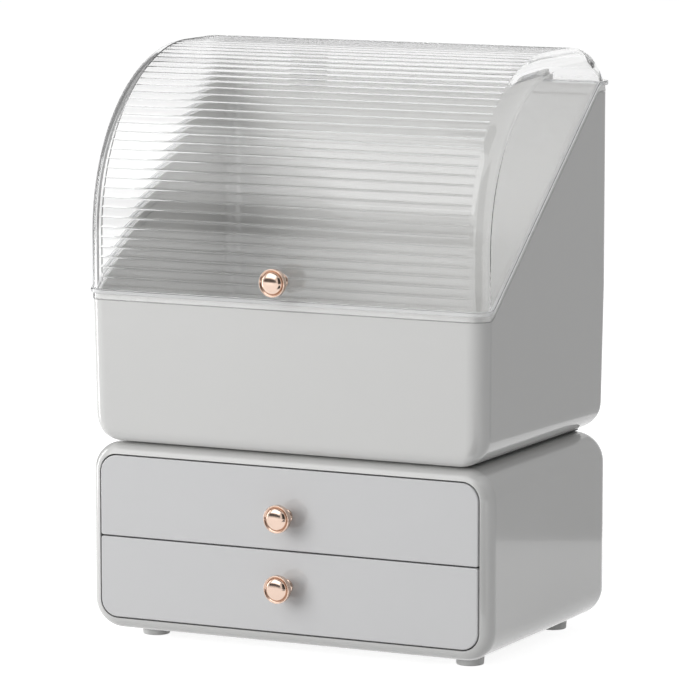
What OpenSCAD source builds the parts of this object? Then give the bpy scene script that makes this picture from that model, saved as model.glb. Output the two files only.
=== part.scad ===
// Two-tier makeup organizer: a two-drawer cabinet on four feet, and on it a vanity box
// under a clear ribbed dome lid that is hinged along its back edge.
// X is the width, the fronts face -Y, Z is up, and Z = 0 is the surface it stands on.

/* [Cabinet] */
// Width of the drawer cabinet
cab_w = 290; // [260:1:330]
// Depth of the drawer cabinet
cab_d = 196; // [170:1:230]
// Height of the drawer cabinet without its feet
cab_h = 124.5; // [116:0.5:150]
// Radius of the cabinet's four long corners, seen from the front
cab_corner_r = 20; // [18:1:24]
// Rounding of the casing's front edge
cab_front_r = 10.5; // [6:0.5:11]
// Rounding of the casing's back edge
cab_back_r = 18; // [8:1:20]
// Thickness of the casing
cab_wall = 3; // [2.5:0.1:4]
// Width of the casing's rim round the drawer fronts
bezel = 7.5; // [7:0.5:10]
// Depth of that rim
bezel_t = 12; // [11.5:0.5:14]
// Thickness of the shelf between the drawers
shelf_t = 2.4; // [2:0.2:3]

/* [Feet] */
// Height of the rubber feet
foot_h = 8; // [5:0.5:14]
// Radius of the feet
foot_r = 9.5; // [7:0.5:11]
// Distance from the cabinet's sides to the middles of the feet
foot_side = 30; // [28:1:50]
// Distance from the drawer fronts to the front feet
foot_front = 36; // [24:1:50]
// Distance from the cabinet's back to the rear feet
foot_back = 28; // [26:1:50]

/* [Drawers] */
// Gap round the drawer fronts
front_gap = 0.8; // [0.4:0.1:1]
// Thickness of a drawer front
front_t = 3; // [2.4:0.2:4]
// Thickness of a drawer tray
tray_wall = 2; // [1.6:0.2:2.6]
// Space beside a drawer tray, which takes its lip and rail
tray_side = 14; // [14:0.5:28]
// Space between a tray and the cabinet's back
tray_back = 15; // [14:1:40]
// Height of a drawer tray
tray_h = 43; // [30:1:45]
// Rounding of a tray's bottom edges
tray_r = 14; // [10:1:16]
// Height of the tray's side lip over its underside
lip_up = 21; // [18:1:24]
// Thickness of the side lip
lip_t = 3; // [2:0.5:4]
// Width of the side lip
lip_w = 5; // [4:0.5:5]
// Length of the stop tab at the back end of the lip
tab_l = 8; // [5:1:12]
// Width that the stop tab adds to the lip
tab_w = 2.2; // [1.6:0.2:2.4]
// Running clearance between lip and rail
run_gap = 0.4; // [0.3:0.1:0.6]

/* [Knobs] */
// Radius of a knob's head
knob_r = 9.2; // [8:0.2:11]
// Length of a knob, from its seat to the top of its head
knob_l = 16.5; // [13:0.5:20]
// Radius of the knob's neck
knob_neck_r = 3.8; // [3.4:0.2:4.4]
// Radius of the knob's seat
knob_seat_r = 5; // [4.8:0.2:6]
// Radius of the knob's screw
screw_r = 1.9; // [1.5:0.1:2.2]
// Depth of the screw's hole in the knob
screw_depth = 8; // [6:0.5:9]
// Radius of the screw's head
screw_head_r = 3.6; // [3.2:0.2:4]
// Thickness of the screw's head
screw_head_t = 2.2; // [1.6:0.2:2.8]
// Distance from the gap between the drawers to each drawer's knob
knob_off = 23; // [19:0.5:27]
// Height of the lid's knob over the front rim
lid_knob_up = 15.5; // [14:0.5:26]

/* [Vanity box] */
// Width of the vanity box at its rim
box_w = 286; // [264:1:330]
// Depth of the vanity box at its rim
box_d = 201; // [176:1:230]
// How far the vanity box stands out over the drawer fronts
overhang = 5.5; // [2:0.5:10]
// Height of the front wall of the vanity box
box_front_h = 97.8; // [84:0.2:120]
// Height of the back wall over the front wall
box_rise = 132.5; // [100:0.5:150]
// Thickness of the walls of the vanity box
box_wall = 3; // [2.6:0.1:4]
// Radius of the upright corners of the vanity box
box_corner_r = 12.5; // [10:0.5:18]
// Rounding of the bottom edges along the sides of the vanity box
box_side_r = 19; // [14:1:22]
// Rounding of the bottom edge along its front
box_front_r = 8; // [5:0.5:14]
// Rounding of the bottom edge along its back
box_back_r = 15; // [8:1:20]
// Lean of the side walls below the front rim, in degrees
lean_side = 0.7; // [0:0.1:1.2]
// Lean of the front and back walls below the front rim, in degrees
lean_front = 1.1; // [0:0.1:1.4]
// Slope of the side rims, in degrees
rim_slope = 38.4; // [34:0.2:44]
// Length of the level rim along the top of the back wall
rim_back_l = 23; // [18:1:30]

/* [Stacking pads] */
// Gap between the cabinet and the vanity box
stack_gap = 1.3; // [0.8:0.1:2]
// Radius of the pads between them
pad_r = 8; // [6:0.5:10]
// Depth of the seats for the pads in the cabinet's top
pad_seat = 1.4; // [1:0.1:1.6]
// Distance from the cabinet's sides to the middles of the pads
pad_side = 35; // [33:1:60]
// Distance from the cabinet's front and back to the middles of the pads
pad_end = 36; // [34:1:50]

/* [Lid] */
// Thickness of the clear lid
lid_t = 2.5; // [2.2:0.1:3]
// Height of the lid's top over the top of the back wall
lid_rise = 26.2; // [22:0.2:34]
// Radius of the lid's large front curve
dome_r = 120; // [100:1:124]
// Radius of the lid's back curve
dome_back_r = 45; // [38:1:46]
// Rounding of the lid's side edges
dome_edge_r = 11; // [9:1:18]
// Height of the flange round the lid's rim
flange_h = 3; // [2.4:0.2:4]
// How far the flange stands out from the box
flange_out = 1.9; // [1.2:0.1:2.4]
// Height of the skirt below the flange
skirt_h = 4; // [3:0.2:5]
// How far the skirt stands out from the box
skirt_out = 0.6; // [0.4:0.1:0.9]
// Depth of the step in the box's rim that takes the skirt
rim_step = 0.9; // [0.7:0.1:1.1]
// Clearance between the closed lid and the box
lid_gap = 0.3; // [0.2:0.05:0.4]

/* [Lid ribs] */
// Spacing of the ribs along the lid
rib_pitch = 6.55; // [5:0.05:9]
// Depth of the grooves between the ribs
rib_depth = 0.4; // [0.3:0.1:0.8]
// How far the crests of the ribs lie under the smooth edges
rib_recess = 0.3; // [0.25:0.05:0.4]
// Height of the lowest groove over the front rim
rib_start = 4.6; // [4:0.1:8]
// Number of ribs
rib_count = 41; // [20:1:41]

/* [Hinges] */
// Distance from the middle of the lid to the middle of a hinge
hinge_x = 83; // [60:1:100]
// Width of a hinge over its two lugs
hinge_w = 26; // [20:1:32]
// Width of one lug of the box
lug_w = 6; // [4:0.5:7]
// Radius of the hinge barrels
barrel_r = 3.4; // [3:0.1:4]
// Radius of the hinge pins
pin_r = 1.5; // [1.2:0.1:1.8]
// Radial clearance of the pins in the lugs of the box
pin_run = 0.06; // [0.03:0.01:0.1]
// Angle at which the stop rib holds the open lid
lid_open = 105; // [95:1:120]

/* [Hidden] */

// Colours
grey = [0.80, 0.80, 0.79];
inner_grey = [0.74, 0.74, 0.73];
rose_gold = [0.83, 0.60, 0.48];
steel = [0.72, 0.72, 0.74];
rubber = [0.70, 0.70, 0.69];
clear = [0.90, 0.94, 0.97, 0.45];

// Steps in a quarter turn of a rounded edge, and in the long curve of the lid
edge_steps = 6;
dome_steps = 18;
// Least radius that a rounded corner shrinks to
least_r = 1.5;
// Overlap of solids that are joined or cut
eps = 0.5;
// Rest clearance between pieces that lie on each other
seat_gap = 0.3;
// Close clearance of pegs in their holes
peg_gap = 0.05;
// Close clearance of the hinge pins in the lid's barrels
pin_hold = 0.02;

// Cabinet
cab_z0 = foot_h;
cab_z1 = foot_h + cab_h;
open_z0 = cab_z0 + bezel;
open_z1 = cab_z1 - bezel;
split_z = (open_z0 + open_z1) / 2;
shelf_z0 = split_z - shelf_t / 2;
shelf_z1 = split_z + shelf_t / 2;

// Vanity box
box_z0 = cab_z1 + stack_gap;
rim_z = box_z0 + box_front_h;
rim_back_z = rim_z + box_rise;
box_top = rim_back_z + 8;

// Hinge: the pins lie behind the flange, level with its upper face
hinge_z = rim_back_z + flange_h;
hinge_out = flange_out + 0.4 + barrel_r;

// Tip of the lid's stop tab with the lid open, measured from the pin
stop_y = hinge_out - 0.25;
stop_drop = flange_h + 2;
stop_back = stop_drop * sin(lid_open) - stop_y * cos(lid_open);

// The whole depth, from the lid's knob to the stop tabs, sets where the fronts lie,
// so that the origin is under the middle of the object
whole_d = knob_l + box_d + hinge_out + max(barrel_r, stop_back);
box_front_y = -whole_d / 2 + knob_l;
box_back_y = box_front_y + box_d;
front_y = box_front_y + overhang;
back_y = front_y + cab_d;
hinge_y = box_back_y + hinge_out;

// Drawer trays
tray_w = cab_w - 2 * tray_side;
tray_d = cab_d - front_t - tray_back;

// Foot and pad centres
foot_span_x = cab_w - 2 * foot_side;
pad_span_x = cab_w - 2 * pad_side;
pad_span_y = cab_d - 2 * pad_end;
foot_front_y = front_y + foot_front;
foot_rear_y = back_y - foot_back;
pad_mid_y = (front_y + back_y) / 2;

// Pegs of the feet and of the pads
peg_r = 2.4;
peg_l = 2.2;
boss_h = 4.5;

// Rounded rectangle in its own plane, anticlockwise from its lower left corner;
// r holds the radii of the lower left, lower right, upper right and upper left corners
function corner(c, r, a0) =
    [for (i = [0 : edge_steps]) c + r * [cos(a0 + i * 90 / edge_steps), sin(a0 + i * 90 / edge_steps)]];
function round_rect(x0, x1, y0, y1, r) = concat(
    corner([x0 + r[0], y0 + r[0]], r[0], 180),
    corner([x1 - r[1], y0 + r[1]], r[1], 270),
    corner([x1 - r[2], y1 - r[2]], r[2], 0),
    corner([x0 + r[3], y1 - r[3]], r[3], 90));
function four(r) = [r, r, r, r];

// Solid through a row of rings with equal numbers of points; each ring runs anticlockwise
// about the direction in which the rings advance
module loft(rings) {
    n = len(rings[0]);
    m = len(rings);
    points = [for (ring = rings) for (p = ring) p];
    sides = [for (i = [0 : m - 2]) for (j = [0 : n - 1])
        let (k = (j + 1) % n, a = i * n, b = (i + 1) * n)
        each [[a + j, b + j, b + k], [a + j, b + k, a + k]]];
    start = [[for (j = [0 : n - 1]) j]];
    end = [[for (j = [n - 1 : -1 : 0]) (m - 1) * n + j]];
    polyhedron(points = points, faces = concat(start, sides, end), convexity = 10);
}

// Plate whose outline in X and Z is extruded towards +Y from y
module along_y(y, length) {
    translate([0, y + length, 0]) rotate([90, 0, 0]) linear_extrude(height = length) children();
}

// Prism whose outline in Y and Z is extruded along X, centred on X = 0
module along_x(width) {
    rotate([90, 0, 90]) linear_extrude(height = width, center = true) children();
}

// Rod along X, centred on X = x
module rod_x(x, y, z, r, length) {
    translate([x, y, z]) rotate([0, 90, 0]) cylinder(r = r, h = length, center = true, $fn = 48);
}

// Rod along +Y from y
module rod_y(x, y, z, r, length) {
    translate([x, y, z]) rotate([-90, 0, 0]) cylinder(r = r, h = length, $fn = 48);
}

// Cabinet outline in X and Z, drawn in by d, at depth y; it runs anticlockwise about +Y
function cab_ring(d, y) =
    let (r = max(least_r, cab_corner_r - d),
        flat = round_rect(-cab_w / 2 + d, cab_w / 2 - d, cab_z0 + d, cab_z1 - d, four(r)),
        n = len(flat))
    [for (i = [n - 1 : -1 : 0]) [flat[i][0], y, flat[i][1]]];

// Outer form of the cabinet, with its front and back edges rounded
module cabinet_form() {
    front = [for (i = [0 : edge_steps]) let (a = i * 90 / edge_steps)
        cab_ring(cab_front_r * (1 - sin(a)), front_y + cab_front_r * (1 - cos(a)))];
    back = [for (i = [0 : edge_steps]) let (a = i * 90 / edge_steps)
        cab_ring(cab_back_r * (1 - cos(a)), back_y - cab_back_r * (1 - sin(a)))];
    loft(concat(front, back));
}

// Hollow of the casing behind its rim, with the same roundings less the wall
module cabinet_hollow() {
    r = cab_back_r - cab_wall;
    y1 = back_y - cab_wall;
    back = [for (i = [0 : edge_steps]) let (a = i * 90 / edge_steps)
        cab_ring(cab_wall + r * (1 - cos(a)), y1 - r * (1 - sin(a)))];
    loft(concat([cab_ring(cab_wall, front_y + bezel_t)], back));
}

// Places of the four feet and of the four pads
module at_feet() {
    for (x = [-1, 1]) for (y = [foot_front_y, foot_rear_y]) translate([x * foot_span_x / 2, y, 0]) children();
}
module at_pads() {
    for (x = [-1, 1]) for (y = [-1, 1])
        translate([x * pad_span_x / 2, pad_mid_y + y * pad_span_y / 2, 0]) children();
}

// Ledges moulded in the casing that carry the shelf
ledge_w = 4;
ledge_t = 2;
module shelf_ledges() {
    length = back_y - cab_back_r - front_y - bezel_t;
    for (x = [-1, 1])
        translate([x * (cab_w / 2 - cab_wall - ledge_w / 2), front_y + bezel_t + length / 2,
            shelf_z0 - seat_gap - ledge_t / 2])
        cube([ledge_w + eps, length + eps, ledge_t], center = true);
}

// Casing of the cabinet: one moulded shell, open at the front
module cabinet_shell() {
    open_r = cab_corner_r - bezel;
    color(grey) difference() {
        union() {
            difference() {
                cabinet_form();
                cabinet_hollow();
            }
            intersection() {
                cabinet_form();
                union() {
                    at_feet() translate([0, 0, cab_z0]) cylinder(r = foot_r + 1, h = boss_h, $fn = 48);
                    at_pads() translate([0, 0, cab_z1 - boss_h]) cylinder(r = pad_r + 2, h = boss_h, $fn = 48);
                }
            }
            shelf_ledges();
        }
        along_y(front_y - eps, bezel_t + 2 * eps)
            polygon(round_rect(-cab_w / 2 + bezel, cab_w / 2 - bezel, open_z0, open_z1, four(open_r)));
        at_feet() translate([0, 0, cab_z0 - eps]) cylinder(r = peg_r + peg_gap, h = peg_l + 1, $fn = 32);
        at_pads() translate([0, 0, cab_z1 - pad_seat]) cylinder(r = pad_r + 0.4, h = boss_h, $fn = 48);
    }
}

// Shelf between the two drawers, pushed in on the ledges
module cabinet_shelf() {
    x = cab_w / 2 - cab_wall - seat_gap;
    y0 = front_y + bezel_t + seat_gap;
    y1 = back_y - cab_wall - seat_gap;
    bevel = cab_back_r - cab_wall;
    color(inner_grey) translate([0, 0, shelf_z0]) linear_extrude(height = shelf_t)
        polygon([[-x, y0], [x, y0], [x, y1 - bevel], [x - bevel, y1], [bevel - x, y1], [-x, y1 - bevel]]);
}

// Rubber foot with a peg that plugs into the casing
module foot(x, y) {
    color(rubber) translate([x, y, 0]) {
        cylinder(r1 = foot_r - 0.6, r2 = foot_r, h = foot_h, $fn = 48);
        cylinder(r = peg_r, h = foot_h + peg_l, $fn = 32);
    }
}

// Height of a tray's underside, for the upper (1) and the lower (0) drawer
function tray_z(upper) = upper == 1
    ? shelf_z1 + 2 * seat_gap
    : open_z0 + 1.5;
function knob_z(upper) = split_z + (upper == 1 ? knob_off : -knob_off);

// Channel on the casing's side wall in which a tray's side lip runs
channel_wall = 2.4;
module rail(side, upper) {
    outer = cab_w / 2 - cab_wall - seat_gap;
    lip_edge = tray_w / 2 + lip_w;
    inner = tray_w / 2 + run_gap + 0.6;
    web = lip_edge + tab_w + run_gap;
    lip_z0 = tray_z(upper) + lip_up;
    z0 = lip_z0 - run_gap - channel_wall;
    z1 = lip_z0 + lip_t + run_gap + channel_wall;
    y0 = front_y + bezel_t + seat_gap;
    y1 = back_y - cab_wall - seat_gap - cab_back_r + cab_wall;
    stop_l = 6;
    color(inner_grey) mirror([side == "left" ? 1 : 0, 0, 0]) {
        difference() {
            translate([inner, y0, z0]) cube([outer - inner, y1 - y0, z1 - z0]);
            translate([inner - eps, y0 - eps, z0 + channel_wall])
                cube([web - inner + eps, y1 - y0 + 2 * eps, z1 - z0 - 2 * channel_wall]);
        }
        translate([lip_edge + run_gap, y0, z0 + channel_wall - eps])
            cube([web - lip_edge, stop_l, z1 - z0 - 2 * channel_wall + 2 * eps]);
    }
}

// Drawer front with softly rounded edges; d draws its outline in
function front_ring(upper, d, y) =
    let (x = cab_w / 2 - bezel - front_gap - d,
        big = max(least_r, cab_corner_r - bezel - front_gap - d),
        z0 = upper == 1 ? split_z + front_gap / 2 : open_z0 + front_gap,
        z1 = upper == 1 ? open_z1 - front_gap : split_z - front_gap / 2,
        r = upper == 1 ? [least_r, least_r, big, big] : [big, big, least_r, least_r],
        flat = round_rect(-x, x, z0 + d, z1 - d, r),
        n = len(flat))
    [for (i = [n - 1 : -1 : 0]) [flat[i][0], y, flat[i][1]]];
dowel_r = 2;
dowel_x = 90;
module drawer_front(upper) {
    edge = 0.8;
    color(grey) difference() {
        union() {
            loft([front_ring(upper, edge, front_y), front_ring(upper, edge * 0.3, front_y + edge * 0.3),
                front_ring(upper, 0, front_y + edge), front_ring(upper, 0, front_y + front_t)]);
            for (x = [-dowel_x, dowel_x])
                rod_y(x, front_y + front_t - eps, knob_z(upper), dowel_r, tray_wall + eps);
        }
        rod_y(0, front_y - eps, knob_z(upper), screw_r + peg_gap, front_t + 2 * eps);
    }
}

// Drawer tray: an open box with rounded bottom edges and a lip along each side
module drawer_tray(upper) {
    z0 = tray_z(upper);
    z1 = z0 + tray_h;
    y0 = front_y + front_t;
    x = tray_w / 2;
    lip_z0 = z0 + lip_up;
    r_in = tray_r - tray_wall;
    color(inner_grey) difference() {
        union() {
            along_y(y0, tray_d) polygon(round_rect(-x, x, z0, z1, [tray_r, tray_r, least_r, least_r]));
            for (s = [0, 1]) mirror([s, 0, 0]) {
                translate([x - eps, y0 + bezel_t, lip_z0]) cube([lip_w + eps, tray_d - bezel_t, lip_t]);
                translate([x - eps, y0 + tray_d - tab_l, lip_z0]) cube([lip_w + tab_w + eps, tab_l, lip_t]);
            }
        }
        along_y(y0 + tray_wall, tray_d - 2 * tray_wall)
            polygon(round_rect(-x + tray_wall, x - tray_wall, z0 + tray_wall, z1 + 20, four(r_in)));
        rod_y(0, y0 - eps, knob_z(upper), screw_r + peg_gap, tray_wall + 2 * eps);
        for (d = [-dowel_x, dowel_x]) rod_y(d, y0 - eps, knob_z(upper), dowel_r + peg_gap, tray_wall + 2 * eps);
    }
}

// Turned knob: a seat, a slim waisted neck and a head with a thin lip round a full
// dome; the profile is given as radius and height over the seat
module knob(y, z) {
    head_z = knob_l - 6;
    lip = 0.9;
    lip_z = knob_l - 2.2;
    groove = 0.6;
    dome_w = knob_r - 2 * lip;
    profile = concat(
        [[0, 0], [knob_seat_r, 0], [knob_seat_r, 0.9]],
        [for (i = [0 : 4]) let (a = i * 22.5)
            [knob_neck_r + (knob_seat_r - 0.4 - knob_neck_r) * (1 - sin(a)), 1.3 + 2 * (1 - cos(a)) + i * 0.2]],
        [for (i = [0 : 5]) let (a = i * 18)
            [knob_neck_r + (knob_r - 0.5 - knob_neck_r) * (1 - cos(a)), head_z - 2.6 + 2.6 * sin(a)]],
        [[knob_r, head_z + 0.7], [knob_r, lip_z - lip / 2]],
        [for (i = [1 : 6]) let (a = i * 30)
            [knob_r - lip / 2 + lip / 2 * cos(a), lip_z - lip / 2 + lip / 2 * sin(a)]],
        [[dome_w, lip_z - lip / 2 - groove]],
        [for (i = [1 : 6]) let (a = i * 15)
            [dome_w * cos(a), lip_z - lip / 2 - groove + (knob_l - lip_z + lip / 2 + groove) * sin(a)]]);
    color(rose_gold) translate([0, y, z]) rotate([90, 0, 0]) difference() {
        rotate_extrude($fn = 72) polygon(profile);
        translate([0, 0, -eps]) cylinder(r = screw_r + peg_gap, h = screw_depth + eps, $fn = 48);
    }
}

// Pan-head screw from inside; wall is all that lies between its head and the knob
module knob_screw(y, z, wall) {
    color(steel) {
        difference() {
            rod_y(0, y + wall, z, screw_head_r, screw_head_t);
            translate([-screw_head_r - eps, y + wall + screw_head_t - 0.9, z - 0.4])
                cube([2 * screw_head_r + 2 * eps, 1 + eps, 0.8]);
        }
        rod_y(0, y - screw_depth + 0.6, z, screw_r, screw_depth - 0.6 + wall + eps);
    }
}

// Vanity box form at height z, grown by d; it runs anticlockwise about +Z
function box_hx(z) = box_w / 2 + min(0, z - rim_z) * tan(lean_side);
function box_lean_y(z) = min(0, z - rim_z) * tan(lean_front);
function box_ring(z, inset, d, r) =
    let (x = box_hx(z) - inset[0] + d, y0 = box_front_y - box_lean_y(z) + inset[1] - d,
        y1 = box_back_y + box_lean_y(z) - inset[2] + d)
    [for (p = round_rect(-x, x, y0, y1, four(max(least_r, r + d)))) [p[0], p[1], z]];
function edge_inset(r, h) = h >= r ? 0 : r - sqrt(r * r - (r - h) * (r - h));
module box_form(d, top) {
    rs = box_side_r + d;
    bottom = [for (i = [0 : edge_steps]) let (h = rs * (1 - cos(i * 90 / edge_steps)),
        inset = [for (r = [box_side_r, box_front_r, box_back_r]) edge_inset(r + d, h)])
        box_ring(box_z0 - d + h, inset, d, box_corner_r * (1 - inset[0] / rs * 0.8))];
    none = [0, 0, 0];
    loft(concat(bottom, [box_ring(rim_z, none, d, box_corner_r), box_ring(top, none, d, box_corner_r)]));
}

// Everything above the rim line, which runs level, up the side slope and level again;
// t lifts the line square to itself
rim_soft = 10;
rim_far = 400;
slope_y1 = box_back_y - rim_back_l;
slope_y0 = slope_y1 - box_rise / tan(rim_slope);
module above_rim(t) {
    k = tan(rim_slope / 2);
    reach = rim_soft * k;
    low = [for (i = [0 : 4]) let (a = i * rim_slope / 4)
        [slope_y0 - reach + rim_soft * sin(a), rim_z + rim_soft * (1 - cos(a))]];
    high = [for (i = [0 : 4]) let (a = rim_slope * (1 - i / 4))
        [slope_y1 + reach - rim_soft * sin(a), rim_back_z - rim_soft * (1 - cos(a))]];
    translate([0, -t * k, t]) along_x(2 * rim_far)
        polygon(concat([[-rim_far, rim_z]], low, high, [[rim_far, rim_back_z], [rim_far, rim_far * 2],
            [-rim_far, rim_far * 2]]));
}

// Outer profile of the lid in Y and Z, drawn in by d, down to the height low
dome_top = rim_back_z + lid_rise;
dome_c = [box_front_y + dome_r, dome_top - dome_r];
dome_back_y = box_back_y + 1;
dome_back_c = [dome_back_y - dome_back_r, dome_top - dome_back_r];
function dome_profile(d, low) = concat(
    [[dome_back_y - d, low]],
    [for (i = [0 : 8]) let (a = i * 90 / 8) dome_back_c + (dome_back_r - d) * [cos(a), sin(a)]],
    [for (i = [0 : dome_steps]) let (a = 90 + i * 90 / dome_steps) dome_c + (dome_r - d) * [cos(a), sin(a)]],
    [[box_front_y + d, low]]);
module dome_form(d) {
    r = dome_edge_r - d;
    low = rim_z - 40;
    side = [for (i = [0 : edge_steps]) let (a = i * 90 / edge_steps) [r * (1 - sin(a)), r * (1 - cos(a))]];
    rings = concat(
        [for (s = side) [-box_w / 2 + d + s[1] , s[0]]],
        [for (i = [edge_steps : -1 : 0]) [box_w / 2 - d - side[i][1], side[i][0]]]);
    loft([for (q = rings) [for (p = dome_profile(d + q[1], low)) [q[0], p[0], p[1]]]]);
}

// Point on the lid's outer profile at the length s from the front rim, d under the surface
run_up = dome_c[1] - rim_z;
run_arc = dome_r * PI / 2;
run_top = dome_back_c[0] - dome_c[0];
function dome_point(s, d) =
    s < run_up ? [box_front_y + d, rim_z + s]
    : s < run_up + run_arc
        ? let (a = 180 - (s - run_up) / dome_r * 180 / PI) dome_c + (dome_r - d) * [cos(a), sin(a)]
    : s < run_up + run_arc + run_top ? [dome_c[0] + s - run_up - run_arc, dome_top - d]
    : let (a = 90 - (s - run_up - run_arc - run_top) / dome_back_r * 180 / PI)
        dome_back_c + (dome_back_r - d) * [cos(a), sin(a)];

// What is cut from the lid's outside to leave its ribs: round-backed reeds with sharp grooves
module rib_cut() {
    reed = [1, 0.25, 0, 0.25];
    inside = [for (i = [0 : rib_count - 1]) for (j = [0 : 3])
        dome_point(rib_start + (i + j / 4) * rib_pitch, rib_recess + rib_depth * reed[j])];
    last = rib_start + rib_count * rib_pitch;
    outside = [for (i = [rib_count : -1 : 0]) dome_point(rib_start + i * rib_pitch, -3)];
    along_x(box_w - 2 * dome_edge_r)
        polygon(concat(inside, [dome_point(last, rib_recess + rib_depth)], outside));
}

// Skirt under the flange; it ends before the back corners, which leaves it room to swing
module skirt() {
    end_y = box_back_y - box_corner_r - 1.1;
    difference() {
        intersection() {
            box_form(skirt_out, box_top);
            above_rim(-skirt_h);
        }
        box_form(lid_gap - rim_step, box_top + 1);
        above_rim(0.5);
        translate([-box_w, end_y, rim_z - 50]) cube([2 * box_w, box_d, box_top]);
    }
}

// Places of the two hinges
module at_hinges() {
    for (x = [-hinge_x, hinge_x]) translate([x, 0, 0]) children();
}

// Lugs on the back of the vanity box, drilled for the hinge pins
lug_drop = 15;
module lugs() {
    root_z = rim_back_z - lid_gap - 0.5;
    difference() {
        for (s = [-1, 1]) {
            x = s * (hinge_w - lug_w) / 2;
            rod_x(x, hinge_y, hinge_z, barrel_r, lug_w);
            translate([x, 0, 0]) along_x(lug_w) polygon([[box_back_y - 1.6, root_z],
                [hinge_y - barrel_r, root_z], [hinge_y - barrel_r, hinge_z], [hinge_y + barrel_r, hinge_z],
                [hinge_y + barrel_r / 2, hinge_z - lug_drop / 2], [box_back_y - 1.6, hinge_z - lug_drop]]);
        }
        rod_x(0, hinge_y, hinge_z, pin_r + pin_run, hinge_w + 1);
    }
}

// Recessed bead under the vanity box, which closes the gap over the cabinet; it leaves
// room for the pads
module plinth() {
    width = 3;
    x = box_w / 2 - 17;
    y0 = box_front_y + 24;
    y1 = box_back_y - 8;
    z0 = cab_z1 + seat_gap;
    difference() {
        translate([0, 0, z0]) linear_extrude(height = box_z0 - z0 + box_wall * 0.7) difference() {
            polygon(round_rect(-x, x, y0, y1, four(2 * width)));
            polygon(round_rect(width - x, x - width, y0 + width, y1 - width, four(width)));
        }
        at_pads() translate([0, 0, z0 - eps]) cylinder(r = pad_r + eps, h = box_z0 - z0 + eps, $fn = 48);
    }
}

// Vanity box: low front wall, sloping side rims and a high back wall, open at the top
module vanity_box() {
    color(grey) {
        difference() {
            box_form(0, box_top);
            box_form(-box_wall, box_top + 2);
            above_rim(-lid_gap);
            difference() {
                above_rim(-skirt_h - lid_gap);
                box_form(-rim_step, box_top + 1);
            }
            at_pads() translate([0, 0, box_z0 - eps]) cylinder(r = peg_r + peg_gap, h = peg_l + eps + 0.3, $fn = 32);
        }
        at_hinges() lugs();
        plinth();
    }
}

// Soft pads under the vanity box that sit in the cabinet's top
module stacking_pads() {
    z0 = cab_z1 - pad_seat + seat_gap;
    color(rubber) at_pads() {
        translate([0, 0, z0]) cylinder(r = pad_r, h = box_z0 - z0, $fn = 48);
        translate([0, 0, z0]) cylinder(r = peg_r, h = box_z0 - z0 + peg_l, $fn = 32);
    }
}

// Barrel of the lid between two lugs, its web to the flange, and its stop tab
module lid_barrel() {
    width = hinge_w - 2 * lug_w - 2 * seat_gap;
    rod_x(0, hinge_y, hinge_z, barrel_r, width);
    along_x(width) polygon([[box_back_y + 1, rim_back_z + 0.4], [hinge_y, hinge_z - barrel_r * 0.9],
        [hinge_y, hinge_z + barrel_r * 0.9], [box_back_y + 1, hinge_z]]);
    translate([0, hinge_y, hinge_z]) rotate([lid_open, 0, 0]) along_x(width - 2)
        polygon([[0, 0.5], [-stop_y, -stop_drop + 1.6], [-stop_y, -stop_drop], [0, -pin_r - 1]]);
}

// Clear lid: ribbed dome with smooth rounded edges, flange and skirt
module lid() {
    color(clear) difference() {
        union() {
            difference() {
                union() {
                    intersection() {
                        dome_form(0);
                        above_rim(0);
                    }
                    intersection() {
                        box_form(flange_out, box_top);
                        difference() {
                            above_rim(0);
                            above_rim(flange_h);
                        }
                    }
                }
                dome_form(lid_t);
                rib_cut();
            }
            skirt();
            at_hinges() lid_barrel();
        }
        rod_y(0, box_front_y - 1, rim_z + lid_knob_up, screw_r + peg_gap, lid_t + 2);
        at_hinges() rod_x(0, hinge_y, hinge_z, pin_r + pin_hold, hinge_w);
    }
}

// Steel hinge pin, held in the lid's barrel and running in the two lugs
module hinge_pin(side) {
    color(steel) rod_x(side * hinge_x, hinge_y, hinge_z, pin_r, hinge_w - 1);
}

cabinet_shell();
cabinet_shelf();
rail("left", 1);  // rail_upper_left
rail("right", 1);  // rail_upper_right
rail("left", 0);  // rail_lower_left
rail("right", 0);  // rail_lower_right
foot(-foot_span_x / 2, foot_front_y);  // foot_front_left
foot(foot_span_x / 2, foot_front_y);  // foot_front_right
foot(-foot_span_x / 2, foot_rear_y);  // foot_rear_left
foot(foot_span_x / 2, foot_rear_y);  // foot_rear_right
drawer_front(1);  // drawer_front_upper
drawer_tray(1);  // drawer_tray_upper
knob(front_y, knob_z(1));  // knob_upper
knob_screw(front_y, knob_z(1), front_t + tray_wall);  // knob_screw_upper
drawer_front(0);  // drawer_front_lower
drawer_tray(0);  // drawer_tray_lower
knob(front_y, knob_z(0));  // knob_lower
knob_screw(front_y, knob_z(0), front_t + tray_wall);  // knob_screw_lower
vanity_box();
stacking_pads();
lid();
knob(box_front_y, rim_z + lid_knob_up);  // knob_lid
knob_screw(box_front_y, rim_z + lid_knob_up, lid_t);  // knob_screw_lid
hinge_pin(-1);  // hinge_pin_left
hinge_pin(1);  // hinge_pin_right
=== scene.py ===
"""Dressed scene of a two-tier makeup organizer.

A drawer cabinet on rubber feet carries a vanity box under a hinged, clear, reeded lid.
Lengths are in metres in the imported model's frame: +X right, +Y to the back, +Z up.
"""
import logging
import math
from dataclasses import dataclass
from enum import Enum
from typing import Callable, ClassVar, Iterable, Sequence

import bmesh
import bpy
from mathutils import Matrix, Vector
from mathutils.kdtree import KDTree


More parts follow.
